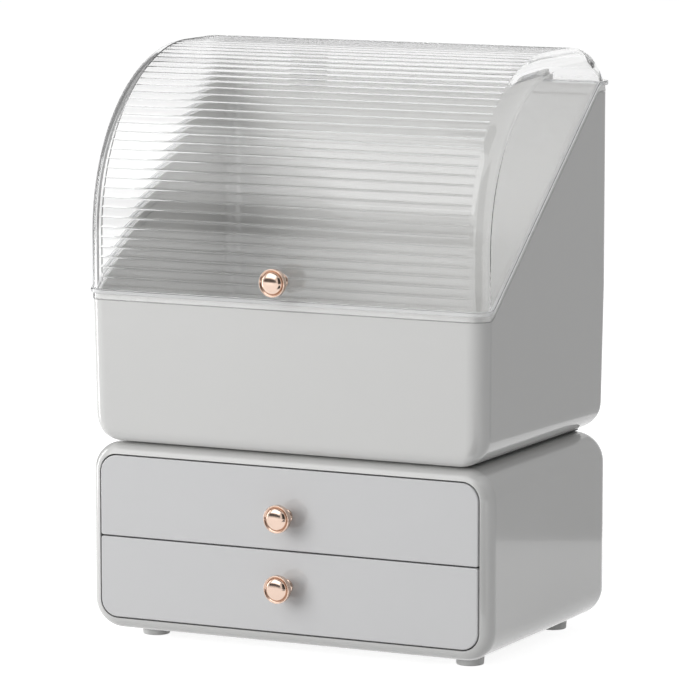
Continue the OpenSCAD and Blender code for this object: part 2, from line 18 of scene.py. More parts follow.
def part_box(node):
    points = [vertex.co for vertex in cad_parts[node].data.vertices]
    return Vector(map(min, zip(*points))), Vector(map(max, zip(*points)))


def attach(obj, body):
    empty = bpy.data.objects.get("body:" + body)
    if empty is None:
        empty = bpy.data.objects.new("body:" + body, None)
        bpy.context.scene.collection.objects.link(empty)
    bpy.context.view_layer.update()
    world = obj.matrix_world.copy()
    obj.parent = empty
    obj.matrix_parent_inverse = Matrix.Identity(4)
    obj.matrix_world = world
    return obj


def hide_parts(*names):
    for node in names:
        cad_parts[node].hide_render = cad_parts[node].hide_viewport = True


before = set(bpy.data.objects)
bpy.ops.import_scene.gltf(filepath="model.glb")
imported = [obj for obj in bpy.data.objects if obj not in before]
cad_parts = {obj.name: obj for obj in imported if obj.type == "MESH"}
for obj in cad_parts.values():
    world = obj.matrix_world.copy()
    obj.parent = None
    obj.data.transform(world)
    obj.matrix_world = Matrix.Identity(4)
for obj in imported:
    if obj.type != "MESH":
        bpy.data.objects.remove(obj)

LOG = logging.getLogger("organizer")
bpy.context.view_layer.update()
MM = 0.001
Point = tuple[float, float]
Line = list[Point]
Spot = tuple[float, float, float]
Color = tuple[float, float, float]
UP: Spot = (0.0, 0.0, 1.0)
ROSE: Color = (0.68, 0.52, 0.43)
STEEL: Color = (0.62, 0.62, 0.63)
LEAST_CORNER = 1.5 * MM


class Body(str, Enum):
    """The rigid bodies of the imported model."""

    CABINET = "cabinet"
    DRAWER_UPPER = "drawer_upper"
    DRAWER_LOWER = "drawer_lower"
    UPPER_BOX = "upper_box"
    LID = "lid_group"


class Slot(str, Enum):
    """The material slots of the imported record."""

    CASING = "casing"
    INNER = "inner_plastic"
    ROSE_GOLD = "rose_gold"
    STEEL = "steel"
    RUBBER = "rubber"
    CLEAR = "clear_plastic"


class Level(Enum):
    """Which of the two drawers a piece belongs to."""

    UPPER = "upper"
    LOWER = "lower"


class Part(Enum):
    """Material index of a face of the lid: clear body, flange bands painted pale as highlights, edge lines painted dark
    as shade and dark reflection, and painted shade on the lower flank of each reed.
    """

    BODY = 0
    PAINTED_HIGHLIGHT_BAND = 1
    PAINTED_SHADE_LINE = 2
    PAINTED_FLANK_SHADE = 3


class GroupBuilder:
    """Small helper that wires one shader node group."""

    def __init__(self, name: str) -> None:
        """Starts an empty group.

        Args:
            name: Name of the group.
        """
        self.tree = bpy.data.node_groups.new(name, "ShaderNodeTree")
        self.source = self.tree.nodes.new("NodeGroupInput")
        self.sink = self.tree.nodes.new("NodeGroupOutput")

    def socket(self, name: str, kind: str, output: bool = False, value: object = None) -> None:
        """Adds a named socket.

        Args:
            name: Name of the socket.
            kind: Blender's socket type name.
            output: Whether it is an output.
            value: Default value of an input.
        """
        made = self.tree.interface.new_socket(name, in_out="OUTPUT" if output else "INPUT", socket_type=kind)
        if value is not None:
            made.default_value = value

    def sockets(self, inputs: dict[str, object]) -> None:
        """Adds the inputs, and the outputs Color, Roughness and Height.

        Args:
            inputs: Default value of each input by name.
        """
        kinds = {1: "NodeSocketFloat", 3: "NodeSocketVector", 4: "NodeSocketColor"}
        for name, value in inputs.items():
            self.socket(name, kinds[1 if isinstance(value, float) else len(value)], value=value)
        for name, size in (("Color", 4), ("Roughness", 1), ("Height", 1)):
            self.socket(name, kinds[size], output=True)

    def feed(self, value: object, end: bpy.types.NodeSocket) -> None:
        """Links a socket to an input, or sets the input to a number."""
        if isinstance(value, (int, float)):
            end.default_value = value
        else:
            self.link(value, end)

    def node(self, kind: str, **settings: object) -> bpy.types.Node:
        """Adds a node and sets its properties.

        Args:
            kind: Blender's node type name.
            settings: Properties of the node.

        Returns:
            The new node.
        """
        made = self.tree.nodes.new(kind)
        for key, value in settings.items():
            setattr(made, key, value)
        return made

    def math(self, operation: str, first: object, second: object) -> bpy.types.NodeSocket:
        """Adds a math node.

        Args:
            operation: The operation.
            first: A socket or a number.
            second: A socket or a number.

        Returns:
            The output socket.
        """
        made = self.node("ShaderNodeMath", operation=operation)
        self.feed(first, made.inputs[0])
        self.feed(second, made.inputs[1])
        return made.outputs[0]

    def scaled(self, vector: bpy.types.NodeSocket, scale: bpy.types.NodeSocket) -> bpy.types.NodeSocket:
        """Scales a vector or colour.

        Args:
            vector: The vector or colour.
            scale: The factor.

        Returns:
            The output socket.
        """
        made = self.node("ShaderNodeVectorMath", operation="SCALE")
        self.link(vector, made.inputs[0])
        self.link(scale, made.inputs["Scale"])
        return made.outputs[0]

    def noise(self, vector: bpy.types.NodeSocket, scale: object, detail: float) -> bpy.types.NodeSocket:
        """Adds a noise texture.

        Args:
            vector: Coordinates that it reads.
            scale: A socket or a number of features per metre.
            detail: Octaves of detail.

        Returns:
            The factor socket.
        """
        made = self.node("ShaderNodeTexNoise")
        made.inputs["Detail"].default_value = detail
        self.link(vector, made.inputs["Vector"])
        self.feed(scale, made.inputs["Scale"])
        return made.outputs["Fac"]

    def link(self, start: bpy.types.NodeSocket, end: bpy.types.NodeSocket) -> None:
        """Links two sockets."""
        self.tree.links.new(start, end)


def moulded_surface_group() -> bpy.types.NodeTree:
    """Colour, gloss and relief of moulded plastic: slow flow marks, fine texture and dust on top faces.

    Returns:
        The node group.
    """
    group = GroupBuilder("moulded_surface")
    group.sockets({"Color": (0.6, 0.6, 0.6, 1.0), "Mottle": 0.04, "Roughness": 0.25, "Gloss Spread": 0.08,
                   "Grain Scale": 900.0, "Dust": 0.03})
    place = group.node("ShaderNodeTexCoord").outputs["Object"]
    flow = group.noise(place, 14.0, 3.0)
    handling = group.noise(place, 55.0, 5.0)
    grain = group.noise(place, group.source.outputs["Grain Scale"], 2.0)
    normal = group.node("ShaderNodeNewGeometry").outputs["Normal"]
    split = group.node("ShaderNodeSeparateXYZ")
    group.link(normal, split.inputs[0])
    up = group.math("POWER", group.math("MAXIMUM", split.outputs["Z"], 0.0), 6.0)
    dust = group.math("MULTIPLY", group.math("MULTIPLY", up, handling), group.source.outputs["Dust"])
    darker = group.math("SUBTRACT", 1.0, group.math("MULTIPLY", flow, group.source.outputs["Mottle"]))
    shade = group.scaled(group.source.outputs["Color"], darker)
    mix = group.node("ShaderNodeMix", data_type="RGBA")
    mix.inputs["B"].default_value = (0.82, 0.81, 0.79, 1.0)
    group.link(dust, mix.inputs["Factor"])
    group.link(shade, mix.inputs["A"])
    group.link(mix.outputs["Result"], group.sink.inputs["Color"])
    spread = group.math("MULTIPLY", group.math("SUBTRACT", handling, 0.5), group.source.outputs["Gloss Spread"])
    rough = group.math("ADD", group.math("ADD", group.source.outputs["Roughness"], spread), dust)
    group.link(rough, group.sink.inputs["Roughness"])
    group.link(group.math("ADD", grain, group.math("MULTIPLY", flow, 0.6)), group.sink.inputs["Height"])
    return group.tree


def turned_metal_group() -> bpy.types.NodeTree:
    """Colour, gloss and relief of lathe-turned, plated metal with fine rings about an axis along Y.

    Returns:
        The node group.
    """
    group = GroupBuilder("turned_metal")
    group.sockets({"Color": (0.8, 0.6, 0.5, 1.0), "Centre": (0.0, 0.0, 0.0), "Roughness": 0.15, "Ring Pitch": 0.0004})
    place = group.node("ShaderNodeTexCoord").outputs["Object"]
    shift = group.node("ShaderNodeVectorMath", operation="SUBTRACT")
    group.link(place, shift.inputs[0])
    group.link(group.source.outputs["Centre"], shift.inputs[1])
    flat = group.node("ShaderNodeVectorMath", operation="MULTIPLY")
    flat.inputs[1].default_value = (1.0, 0.0, 1.0)
    group.link(shift.outputs[0], flat.inputs[0])
    radius = group.node("ShaderNodeVectorMath", operation="LENGTH")
    group.link(flat.outputs[0], radius.inputs[0])
    turns = group.math("DIVIDE", radius.outputs["Value"], group.source.outputs["Ring Pitch"])
    rings = group.math("SINE", group.math("MULTIPLY", turns, 2.0 * math.pi), 0.0)
    smudge = group.noise(place, 260.0, 4.0)
    tarnish = group.noise(place, 90.0, 2.0)
    darker = group.math("SUBTRACT", 1.0, group.math("MULTIPLY", tarnish, 0.1))
    group.link(group.scaled(group.source.outputs["Color"], darker), group.sink.inputs["Color"])
    rough = group.math("ADD", group.source.outputs["Roughness"], group.math("MULTIPLY", smudge, 0.1))
    group.link(rough, group.sink.inputs["Roughness"])
    group.link(rings, group.sink.inputs["Height"])
    return group.tree


def new_material(name: str) -> tuple[bpy.types.Material, bpy.types.Node]:
    """A new node material and its shader."""
    material = bpy.data.materials.new(name)
    material.use_nodes = True
    return material, material.node_tree.nodes["Principled BSDF"]


def new_mesh(name: str, mesh: bmesh.types.BMesh) -> bpy.types.Object:
    """Puts a mesh into the scene as an object, and frees it."""
    data = bpy.data.meshes.new(name)
    mesh.to_mesh(data)
    mesh.free()
    made = bpy.data.objects.new(name, data)
    bpy.context.scene.collection.objects.link(made)
    return made


def start_material(name: str, group: bpy.types.NodeTree, surface_values: dict[str, object], relief: float,
                   relief_depth: float) -> tuple[bpy.types.Material, bpy.types.Node]:
    """Starts a material whose colour, gloss and relief come from a shared group.

    Args:
        name: Name of the material.
        group: The shared group.
        surface_values: Values of the group's inputs.
        relief: Strength of the relief.
        relief_depth: Its depth in metres.

    Returns:
        The material and its shader.
    """
    material, shader = new_material(name)
    nodes, links = material.node_tree.nodes, material.node_tree.links
    surface = nodes.new("ShaderNodeGroup")
    surface.node_tree = group
    for key, value in surface_values.items():
        surface.inputs[key].default_value = value
    bump = nodes.new("ShaderNodeBump")
    bump.inputs["Strength"].default_value = relief
    bump.inputs["Distance"].default_value = relief_depth
    links.new(surface.outputs["Color"], shader.inputs["Base Color"])
    links.new(surface.outputs["Roughness"], shader.inputs["Roughness"])
    links.new(surface.outputs["Height"], bump.inputs["Height"])
    links.new(bump.outputs["Normal"], shader.inputs["Normal"])
    return material, shader


@dataclass(frozen=True)
class PlasticFinish:
    """A moulded plastic or rubber."""

    name: str
    color: Color
    roughness: float
    mottle: float = 0.04
    gloss_spread: float = 0.08
    grain_scale: float = 900.0
    relief: float = 0.05
    coat: float = 0.0
    dust: float = 0.03
    relief_depth: ClassVar[float] = 0.00002
    coat_roughness: ClassVar[float] = 0.04

    def build(self, group: bpy.types.NodeTree) -> bpy.types.Material:
        """Makes the material.

        Args:
            group: The moulded surface group.

        Returns:
            The material.
        """
        values = {"Color": (*self.color, 1.0), "Mottle": self.mottle, "Roughness": self.roughness,
                  "Gloss Spread": self.gloss_spread, "Grain Scale": self.grain_scale, "Dust": self.dust}
        material, shader = start_material(self.name, group, values, self.relief, self.relief_depth)
        shader.inputs["Coat Weight"].default_value = self.coat
        shader.inputs["Coat Roughness"].default_value = self.coat_roughness
        return material


@dataclass(frozen=True)
class MetalFinish:
    """A plated and turned metal, whose rings run about a centre."""

    name: str
    color: Color
    roughness: float
    centre: tuple[float, float, float] = (0.0, 0.0, 0.0)
    ring_pitch: ClassVar[float] = 0.0004
    relief: ClassVar[float] = 0.04
    relief_depth: ClassVar[float] = 0.00001

    def build(self, group: bpy.types.NodeTree) -> bpy.types.Material:
        """Makes the material.

        Args:
            group: The turned metal group.

        Returns:
            The material.
        """
        values = {"Color": (*self.color, 1.0), "Centre": self.centre, "Roughness": self.roughness,
                  "Ring Pitch": self.ring_pitch}
        material, shader = start_material(self.name, group, values, self.relief, self.relief_depth)
        shader.inputs["Metallic"].default_value = 1.0
        return material


@dataclass(frozen=True)
class ClearFinish:
    """A clear moulded plastic."""

    name: str
    color: Color
    roughness: float
    shade: float = 0.82
    clarity: float = 1.0
    relief: ClassVar[float] = 0.03
    relief_depth: ClassVar[float] = 0.0002
    ior: ClassVar[float] = 1.49

    def build(self, group: bpy.types.NodeTree) -> bpy.types.Material:
        """Makes the material, which lets shadow rays through so that what it covers stays lit.

        Args:
            group: The moulded surface group.

        Returns:
            The material.
        """
        values = {"Color": (*self.color, 1.0), "Mottle": 0.01, "Roughness": self.roughness, "Gloss Spread": 0.02,
                  "Grain Scale": 120.0, "Dust": 0.0}
        material, shader = start_material(self.name, group, values, self.relief, self.relief_depth)
        shader.inputs["Transmission Weight"].default_value = self.clarity
        shader.inputs["IOR"].default_value = self.ior
        nodes, links = material.node_tree.nodes, material.node_tree.links
        through = nodes.new("ShaderNodeBsdfTransparent")
        through.inputs["Color"].default_value = (self.shade, self.shade, self.shade, 1.0)
        path = nodes.new("ShaderNodeLightPath")
        mix = nodes.new("ShaderNodeMixShader")
        links.new(path.outputs["Is Shadow Ray"], mix.inputs["Fac"])
        links.new(shader.outputs["BSDF"], mix.inputs[1])
        links.new(through.outputs["BSDF"], mix.inputs[2])
        links.new(mix.outputs["Shader"], nodes["Material Output"].inputs["Surface"])
        return material


def bevel(mesh: bmesh.types.BMesh, edges: Iterable[bmesh.types.BMEdge], offset: float, segments: int) -> None:
    """Rounds edges.

    Args:
        mesh: The mesh.
        edges: The edges to round.
        offset: Radius of the rounding.
        segments: Steps in it.
    """
    bmesh.ops.bevel(mesh, geom=list(edges), offset=offset, segments=segments, profile=0.5, affect="EDGES",
                    offset_type="OFFSET", material=-1, clamp_overlap=True)


def along(edges: Iterable[bmesh.types.BMEdge], axis: int) -> list[bmesh.types.BMEdge]:
    """Edges that run along one axis.

    Args:
        edges: The edges to look through.
        axis: 0, 1 or 2.

    Returns:
        Those that run along it.
    """
    found = []
    for edge in edges:
        span = (edge.verts[1].co - edge.verts[0].co).normalized()
        if abs(span[axis]) > 0.999:
            found.append(edge)
    return found


def facing(mesh: bmesh.types.BMesh, direction: Sequence[float]) -> bmesh.types.BMFace:
    """The largest face that looks in a direction."""
    aim = Vector(direction)
    mesh.normal_update()
    return max((f for f in mesh.faces if f.normal.dot(aim) > 0.99), key=lambda f: f.calc_area())


def block(low: Sequence[float], high: Sequence[float]) -> bmesh.types.BMesh:
    """A box between two corners.

    Args:
        low: Lowest corner.
        high: Highest corner.

    Returns:
        The mesh.
    """
    mesh = bmesh.new()
    bmesh.ops.create_cube(mesh, size=1.0)
    bmesh.ops.scale(mesh, vec=Vector(high) - Vector(low), verts=mesh.verts)
    bmesh.ops.translate(mesh, vec=(Vector(low) + Vector(high)) / 2, verts=mesh.verts)
    return mesh


def deepen(mesh: bmesh.types.BMesh, face: bmesh.types.BMFace, thickness: float, depth: float) -> None:
    """Draws a face in and sinks it."""
    bmesh.ops.inset_region(mesh, faces=[face], thickness=max(thickness, 1e-7), depth=depth, use_even_offset=True)


def mapped_sheet(across: int, along_count: int, place: Callable[[int, int], Vector]) -> bmesh.types.BMesh:
    """A grid whose points are moved to a form.

    Args:
        across: Points in a row.
        along_count: Number of rows.
        place: Gives a point's position from its column and row.

    Returns:
        The mesh.
    """
    mesh = bmesh.new()
    bmesh.ops.create_grid(mesh, x_segments=across - 1, y_segments=along_count - 1, size=1.0)
    for vert in mesh.verts:
        column = round((vert.co.x + 1.0) / 2.0 * (across - 1))
        row = round((vert.co.y + 1.0) / 2.0 * (along_count - 1))
        vert.co = place(column, row)
    bmesh.ops.remove_doubles(mesh, verts=mesh.verts, dist=1e-6)
    return mesh


def height_on(line: Line, y: float) -> float:
    """Height of a line in Y and Z at y."""
    for (y0, z0), (y1, z1) in zip(line, line[1:]):
        if y0 <= y <= y1:
            return z0 + (z1 - z0) * (y - y0) / max(y1 - y0, 1e-9)
    return line[0][1] if y < line[0][0] else line[-1][1]


def cut_along(mesh: bmesh.types.BMesh, line: Line) -> None:
    """Splits the faces of a mesh along a line in Y and Z."""
    for (y0, z0), (y1, z1) in zip(line, line[1:]):
        normal = Vector((0.0, z0 - z1, y1 - y0)).normalized()
        bmesh.ops.bisect_plane(mesh, geom=[*mesh.verts, *mesh.edges, *mesh.faces], dist=1e-7,
                               plane_co=(0.0, y0, z0), plane_no=normal)


def trim(mesh: bmesh.types.BMesh, line: Line, keep_above: bool) -> None:
    """Cuts a mesh along a line in Y and Z and drops one side.

    Args:
        mesh: The mesh.
        line: Points of the line, from the front to the back.
        keep_above: Whether the upper side stays.
    """
    cut_along(mesh, line)
    gone = []
    for face in mesh.faces:
        middle = face.calc_center_median()
        if (middle.z > height_on(line, middle.y)) != keep_above:
            gone.append(face)
    bmesh.ops.delete(mesh, geom=gone, context="FACES")


def lathe(profile: Sequence[Point], foot: Sequence[float], axis: Sequence[float],
          steps: int) -> bmesh.types.BMesh:
    """A turned solid.

    Args:
        profile: Radius and height pairs, from one pole to the other.
        foot: Point on the axis at height zero.
        axis: Direction of the axis.
        steps: Steps in the turn.

    Returns:
        The mesh.
    """
    mesh = bmesh.new()
    up = Vector(axis).normalized()
    side = up.orthogonal().normalized()
    base = Vector(foot)
    points = [mesh.verts.new(base + side * radius + up * height) for radius, height in profile]
    edges = [mesh.edges.new(pair) for pair in zip(points, points[1:])]
    bmesh.ops.spin(mesh, geom=[*points, *edges], cent=base, axis=up, dvec=(0, 0, 0), angle=2 * math.pi,
                   steps=steps, use_merge=True, use_duplicate=False)
    bmesh.ops.remove_doubles(mesh, verts=mesh.verts, dist=1e-7)
    return mesh


def arc(centre: tuple[float, float], radius: float, start: float, end: float, steps: int) -> Line:
    """Points on an arc.

    Args:
        centre: Its centre.
        radius: Its radius.
        start: First angle in degrees.
        end: Last angle in degrees.
        steps: Steps between them.

    Returns:
        The points, both ends included.
    """
    angles = [math.radians(start + (end - start) * i / steps) for i in range(steps + 1)]
    return [(centre[0] + radius * math.cos(a), centre[1] + radius * math.sin(a)) for a in angles]


def quarter(steps: int) -> list[float]:
    """Angles in radians of a quarter turn, both ends included."""
    return [math.radians(90.0 * i / steps) for i in range(steps + 1)]


def corner_point(index: int, steps: int, half: float, low: float, high: float, radius: float) -> Point:
    """A point on a rounded rectangle that is centred on the upright axis.

    Args:
        index: Number of the point, anticlockwise from the lower left corner.
        steps: Steps in each corner.
        half: Half its width.
        low: Its lower side.
        high: Its upper side.
        radius: Radius of its corners.

    Returns:
        The point.
    """
    turn, step = divmod(index % (4 * (steps + 1)), steps + 1)
    angle = math.radians(180.0 + 90.0 * turn + 90.0 * step / steps)
    across = (half - radius) * (-1 if turn in (0, 3) else 1)
    along_side = low + radius if turn in (0, 1) else high - radius
    return across + radius * math.cos(angle), along_side + radius * math.sin(angle)


def rod(mesh: bmesh.types.BMesh, centre: Sequence[float], radius: float, length: float) -> None:
    """Adds a rod along X with softened ends to a mesh."""
    made = bmesh.ops.create_cone(mesh, cap_ends=True, segments=40, radius1=radius, radius2=radius, depth=length,
                                 matrix=Matrix.Translation(Vector(centre)) @ Matrix.Rotation(math.pi / 2, 4, "Y"))
    verts = set(made["verts"])
    rims = [e for e in mesh.edges if set(e.verts) <= verts and len({round(v.co.x, 6) for v in e.verts}) == 1]
    bevel(mesh, rims, min(0.0004, radius / 4), 2)


def prism(mesh: bmesh.types.BMesh, outline: Line, x: float, width: float) -> None:
    """Adds a prism along X to a mesh.

    Args:
        mesh: The mesh.
        outline: Its outline in Y and Z.
        x: The middle of its width.
        width: Its width.
    """
    corners = [mesh.verts.new((x - width / 2, y, z)) for y, z in outline]
    face = mesh.faces.new(corners)
    made = bmesh.ops.extrude_face_region(mesh, geom=[face], use_keep_orig=True)
    moved = [g for g in made["geom"] if isinstance(g, bmesh.types.BMVert)]
    bmesh.ops.translate(mesh, vec=(width, 0, 0), verts=moved)


def finish_piece(name: str, mesh: bmesh.types.BMesh, body: Body, slot: Slot, material: bpy.types.Material,
                 stands_for: Sequence[str] = (), sharp: float = 38.0, recalc: bool = True,
                 more: Sequence[bpy.types.Material] = ()) -> bpy.types.Object:
    """Turns a mesh into a piece of the scene.

    Args:
        name: Name of the piece.
        mesh: Its mesh, which is freed.
        body: The body it rides on.
        slot: The record's material slot; not used.
        material: Its material.
        stands_for: CAD nodes that it replaces.
        sharp: Angle in degrees over which an edge stays sharp.
        recalc: Whether its normals are turned outwards again.
        more: Materials of the faces marked with index 1 and up.

    Returns:
        The object.
    """
    bmesh.ops.remove_doubles(mesh, verts=mesh.verts, dist=1e-7)
    if recalc:
        bmesh.ops.recalc_face_normals(mesh, faces=mesh.faces)
    for face in mesh.faces:
        face.smooth = True
    for edge in mesh.edges:
        edge.smooth = len(edge.link_faces) != 2 or edge.calc_face_angle(0.0) < math.radians(sharp)
    made = new_mesh(name, mesh)
    for layer in (material, *more):
        made.data.materials.append(layer)
    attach(made, body.value)
    if stands_for:
        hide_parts(*stands_for)
    LOG.info("piece %s: %d faces", name, len(made.data.polygons))
    return made


def weigh_normals(piece: bpy.types.Object) -> None:
    """Lets large flat faces rule the shading next to narrow roundings."""
    modifier = piece.modifiers.new("weighted", "WEIGHTED_NORMAL")
    modifier.keep_sharp = True


class Palette:
    """All materials of the organizer."""

    def __init__(self) -> None:
        """Builds the shared groups and the materials."""
        self.moulded = moulded_surface_group()
        self.turned = turned_metal_group()
        gloss = {"coat": 0.5, "mottle": 0.02, "gloss_spread": 0.05, "grain_scale": 420.0, "relief": 0.06}
        satin = {"grain_scale": 1400.0, "relief": 0.25}
        self.casing = self.moulding(PlasticFinish("gloss_grey", (0.60, 0.60, 0.59), 0.13, **gloss))
        self.front = self.moulding(PlasticFinish("gloss_grey_front", (0.585, 0.587, 0.592), 0.12, **gloss))
        self.inner = self.moulding(PlasticFinish("satin_grey", (0.55, 0.55, 0.54), 0.42, **satin))
        # Near-black finish of the plinth: painted shade standing in for the shadow in the gap under the box.
        self.seam = self.moulding(PlasticFinish("painted_gap_shade_black", (0.035, 0.035, 0.035), 0.6, **satin))
        self.rubber = self.moulding(PlasticFinish("soft_rubber", (0.93, 0.93, 0.92), 0.6, grain_scale=2200.0,
                                                  relief=0.5, mottle=0.1, dust=0.1))
        self.clear = self.moulding(ClearFinish("clear_acrylic", (0.985, 0.985, 0.985), 0.012))
        # Half-opaque pale flange faces: painted highlight bands; they also let less light through, which darkens the
        # gap below them.
        self.clear_painted_highlight_band = self.moulding(ClearFinish("clear_acrylic_painted_highlight_band", (0.93, 0.935, 0.94), 0.08, shade=0.3,
                                                    clarity=0.5))
        # Dark edge lines on the flange and skirt: painted shade and dark reflection.
        self.clear_line = self.moulding(ClearFinish("clear_acrylic_painted_shade_line", (0.42, 0.425, 0.43), 0.05, shade=0.3))
        # Darker lower flank of each reed: painted shade under its highlight.
        self.clear_painted_flank_shade = self.moulding(ClearFinish("clear_acrylic_painted_flank_shade", (0.66, 0.665, 0.67), 0.02))

    def moulding(self, finish: PlasticFinish | ClearFinish) -> bpy.types.Material:
        """The material of a moulded finish."""
        return finish.build(self.moulded)

    def metal(self, finish: MetalFinish) -> bpy.types.Material:
        """The material of a turned metal."""
        return finish.build(self.turned)


@dataclass
class Knob:
    """Turned knob: a seat, a slim waisted neck and a head with a thin lip round a full dome."""

    name: str
    node: str
    body: Body
    x: float
    y: float
    z: float
    radius: float = 9.2 * MM
    length: float = 16.5 * MM
    neck: float = 3.8 * MM
    seat: float = 5.0 * MM
    lip: float = 0.9 * MM
    groove: float = 0.6 * MM

    def profile(self) -> Line:
        """Radius and height over the seat, from the seat's middle to the dome's top."""
        head = self.length - 6.0 * MM
        lip_z = self.length - 2.2 * MM - self.lip / 2
        dome = self.radius - 2.0 * self.lip
        rise = self.length - lip_z + self.groove
        return [
            (0.0, 0.0), (self.seat - 0.2 * MM, 0.0), (self.seat, 0.2 * MM), (self.seat, 0.8 * MM),
            (self.seat - 0.15 * MM, 1.0 * MM),
            *[(self.neck + 0.8 * MM * (1 - math.sin(a)), 1.2 * MM + 2.4 * MM * (1 - math.cos(a)))
              for a in quarter(10)],
            *[(self.neck + (self.radius - 0.5 * MM - self.neck) * (1 - math.cos(a)),
               head - 2.6 * MM + 2.6 * MM * math.sin(a)) for a in quarter(12)],
            *arc((self.radius - 0.6 * MM, head + 0.6 * MM), 0.6 * MM, -70.0, 0.0, 5),
            *arc((self.radius - self.lip / 2, lip_z), self.lip / 2, 0.0, 180.0, 12),
            (dome + 0.1 * MM, lip_z - self.groove + 0.15 * MM), (dome, lip_z - self.groove),
            *[(dome * math.cos(a), lip_z - self.groove + rise * math.sin(a))
              for a in quarter(18)[1:]],
        ]

    def build(self, palette: Palette) -> None:
        """Makes the knob.

        Args:
            palette: The materials.
        """
        mesh = lathe(self.profile(), (self.x, self.y, self.z), (0, -1, 0), 72)
        metal = palette.metal(MetalFinish(self.name + "_metal", ROSE, 0.08, (self.x, self.y, self.z)))
        finish_piece(self.name, mesh, self.body, Slot.ROSE_GOLD, metal, [self.node], sharp=42.0)


@dataclass
class Cabinet:
    """The casing with its feet; the shelf and rails stay CAD nodes."""

    width: float = 290 * MM
    depth: float = 196 * MM
    height: float = 124.5 * MM
    front: float = -92.72 * MM
    base: float = 8 * MM
    corner: float = 20 * MM
    front_round: float = 10.5 * MM
    back_round: float = 18 * MM
    wall: float = 3 * MM
    bezel: float = 7.5 * MM
    bezel_depth: float = 12 * MM
    foot_radius: float = 9.5 * MM
    steps: int = 14
    foot_nodes: tuple[str, ...] = ("foot_front_left", "foot_front_right", "foot_rear_left", "foot_rear_right")

    def outline(self, index: int, inset: float, y: float) -> Vector:
        """A point on the casing's rounded outline.

        Args:
            index: Number of the point, anticlockwise from the lower left corner.
            inset: How far the outline is drawn in.
            y: Depth at which it lies.

        Returns:
            The point.
        """
        half, low, high = self.width / 2 - inset, self.base + inset, self.base + self.height - inset
        x, z = corner_point(index, self.steps, half, low, high, max(self.corner - inset, LEAST_CORNER))
        return Vector((x, y, z))

    def section(self) -> Line:
        """Inset and depth of each ring, from the hollow's back round the rim to the outer back."""
        back = self.front + self.depth
        inner, front, outer = self.back_round - self.wall, self.front_round, self.back_round
        lip = math.degrees(math.asin(1 - self.bezel / front))
        rings = [(self.wall + inner * (1 - math.cos(a)), back - self.wall - inner * (1 - math.sin(a)))
                 for a in reversed(quarter(8))]
        rings += [(self.wall, self.front + self.bezel_depth), (self.bezel, self.front + self.bezel_depth)]
        start = self.front + front * (1 - math.cos(math.radians(lip)))
        rings += [(self.bezel, start + 0.3 * MM), (self.bezel - 0.1 * MM, start + 0.08 * MM)]
        rings += [(front * (1 - math.sin(a)), self.front + front * (1 - math.cos(a)))
                  for a in (math.radians(lip + 2.5 + (87.5 - lip) * i / 12) for i in range(13))]
        rings += [(outer * (1 - math.cos(a)), back - outer * (1 - math.sin(a)))
                  for a in quarter(12)]
        return rings

    def build_casing(self, palette: Palette) -> None:
        """Makes the casing: a rounded box, open at the front behind a narrow rim."""
        rings = self.section()
        mesh = mapped_sheet(4 * (self.steps + 1) + 1, len(rings), lambda i, j: self.outline(i, *rings[j]))
        for _, y in (rings[0], rings[-1]):
            loop = [e for e in mesh.edges if e.is_boundary and abs(e.verts[0].co.y - y) < 1e-6]
            bmesh.ops.contextual_create(mesh, geom=loop)
        piece = finish_piece("casing", mesh, Body.CABINET, Slot.CASING, palette.casing, ["cabinet_shell"])
        weigh_normals(piece)

    def build_feet(self, palette: Palette) -> None:
        """Makes the four feet: slightly tapered pads with a rounded sole."""
        for node in self.foot_nodes:
            low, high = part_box(node)
            spot = ((low.x + high.x) / 2, (low.y + high.y) / 2, 0.0)
            sole, top = self.foot_radius - 0.5 * MM, self.foot_radius
            profile = [(0.0, 0.5 * MM), (sole - 3.0 * MM, 0.5 * MM), (sole - 2.6 * MM, 0.0),
                       *arc((sole - 0.8 * MM, 0.8 * MM), 0.8 * MM, -90.0, 0.0, 5),
                       (top, self.base + 0.2 * MM), (0.0, self.base + 0.2 * MM)]
            mesh = lathe(profile, spot, (0, 0, 1), 48)
            finish_piece("pad_" + node, mesh, Body.CABINET, Slot.RUBBER, palette.rubber, [node])

    def build(self, palette: Palette) -> None:
        """Makes all pieces of the cabinet."""
        self.build_casing(palette)
        self.build_feet(palette)


@dataclass
class Drawer:
    """A drawer's front and knob; the tray and screw stay CAD nodes."""

    level: Level
    body: Body
    cabinet: Cabinet
    gap: float = 0.8 * MM
    thickness: float = 3 * MM
    small_round: float = 1.5 * MM
    edge_round: float = 1.0 * MM
    knob_offset: float = 23 * MM

    def build(self, palette: Palette) -> None:
        """Makes the front and the knob."""
        cab = self.cabinet
        low = cab.base + cab.bezel
        high = cab.base + cab.height - cab.bezel
        split = (low + high) / 2
        upper = self.level is Level.UPPER
        z0, z1 = (split + self.gap / 2, high - self.gap) if upper else (low + self.gap, split - self.gap / 2)
        half = cab.width / 2 - cab.bezel - self.gap
        mesh = block((-half, cab.front, z0), (half, cab.front + self.thickness, z1))
        outer = z1 if upper else z0
        long_edges = along(mesh.edges, 1)
        big = [e for e in long_edges if abs(e.verts[0].co.z - outer) < 1e-6]
        bevel(mesh, big, cab.corner - cab.bezel - self.gap, 18)
        small = [e for e in along(mesh.edges, 1) if abs(abs(e.verts[0].co.z) - (z0 + z1 - outer)) < 1e-6
                 and abs(abs(e.verts[0].co.x) - half) < 1e-6]
        bevel(mesh, small, self.small_round, 5)
        bevel(mesh, facing(mesh, (0, -1, 0)).edges, self.edge_round, 4)
        name = self.level.value
        piece = finish_piece(f"face_{name}", mesh, self.body, Slot.CASING, palette.front, [f"drawer_front_{name}"])
        weigh_normals(piece)
        height = split + (self.knob_offset if upper else -self.knob_offset)
        Knob(f"pull_{name}", f"knob_{name}", self.body, 0.0, cab.front, height).build(palette)


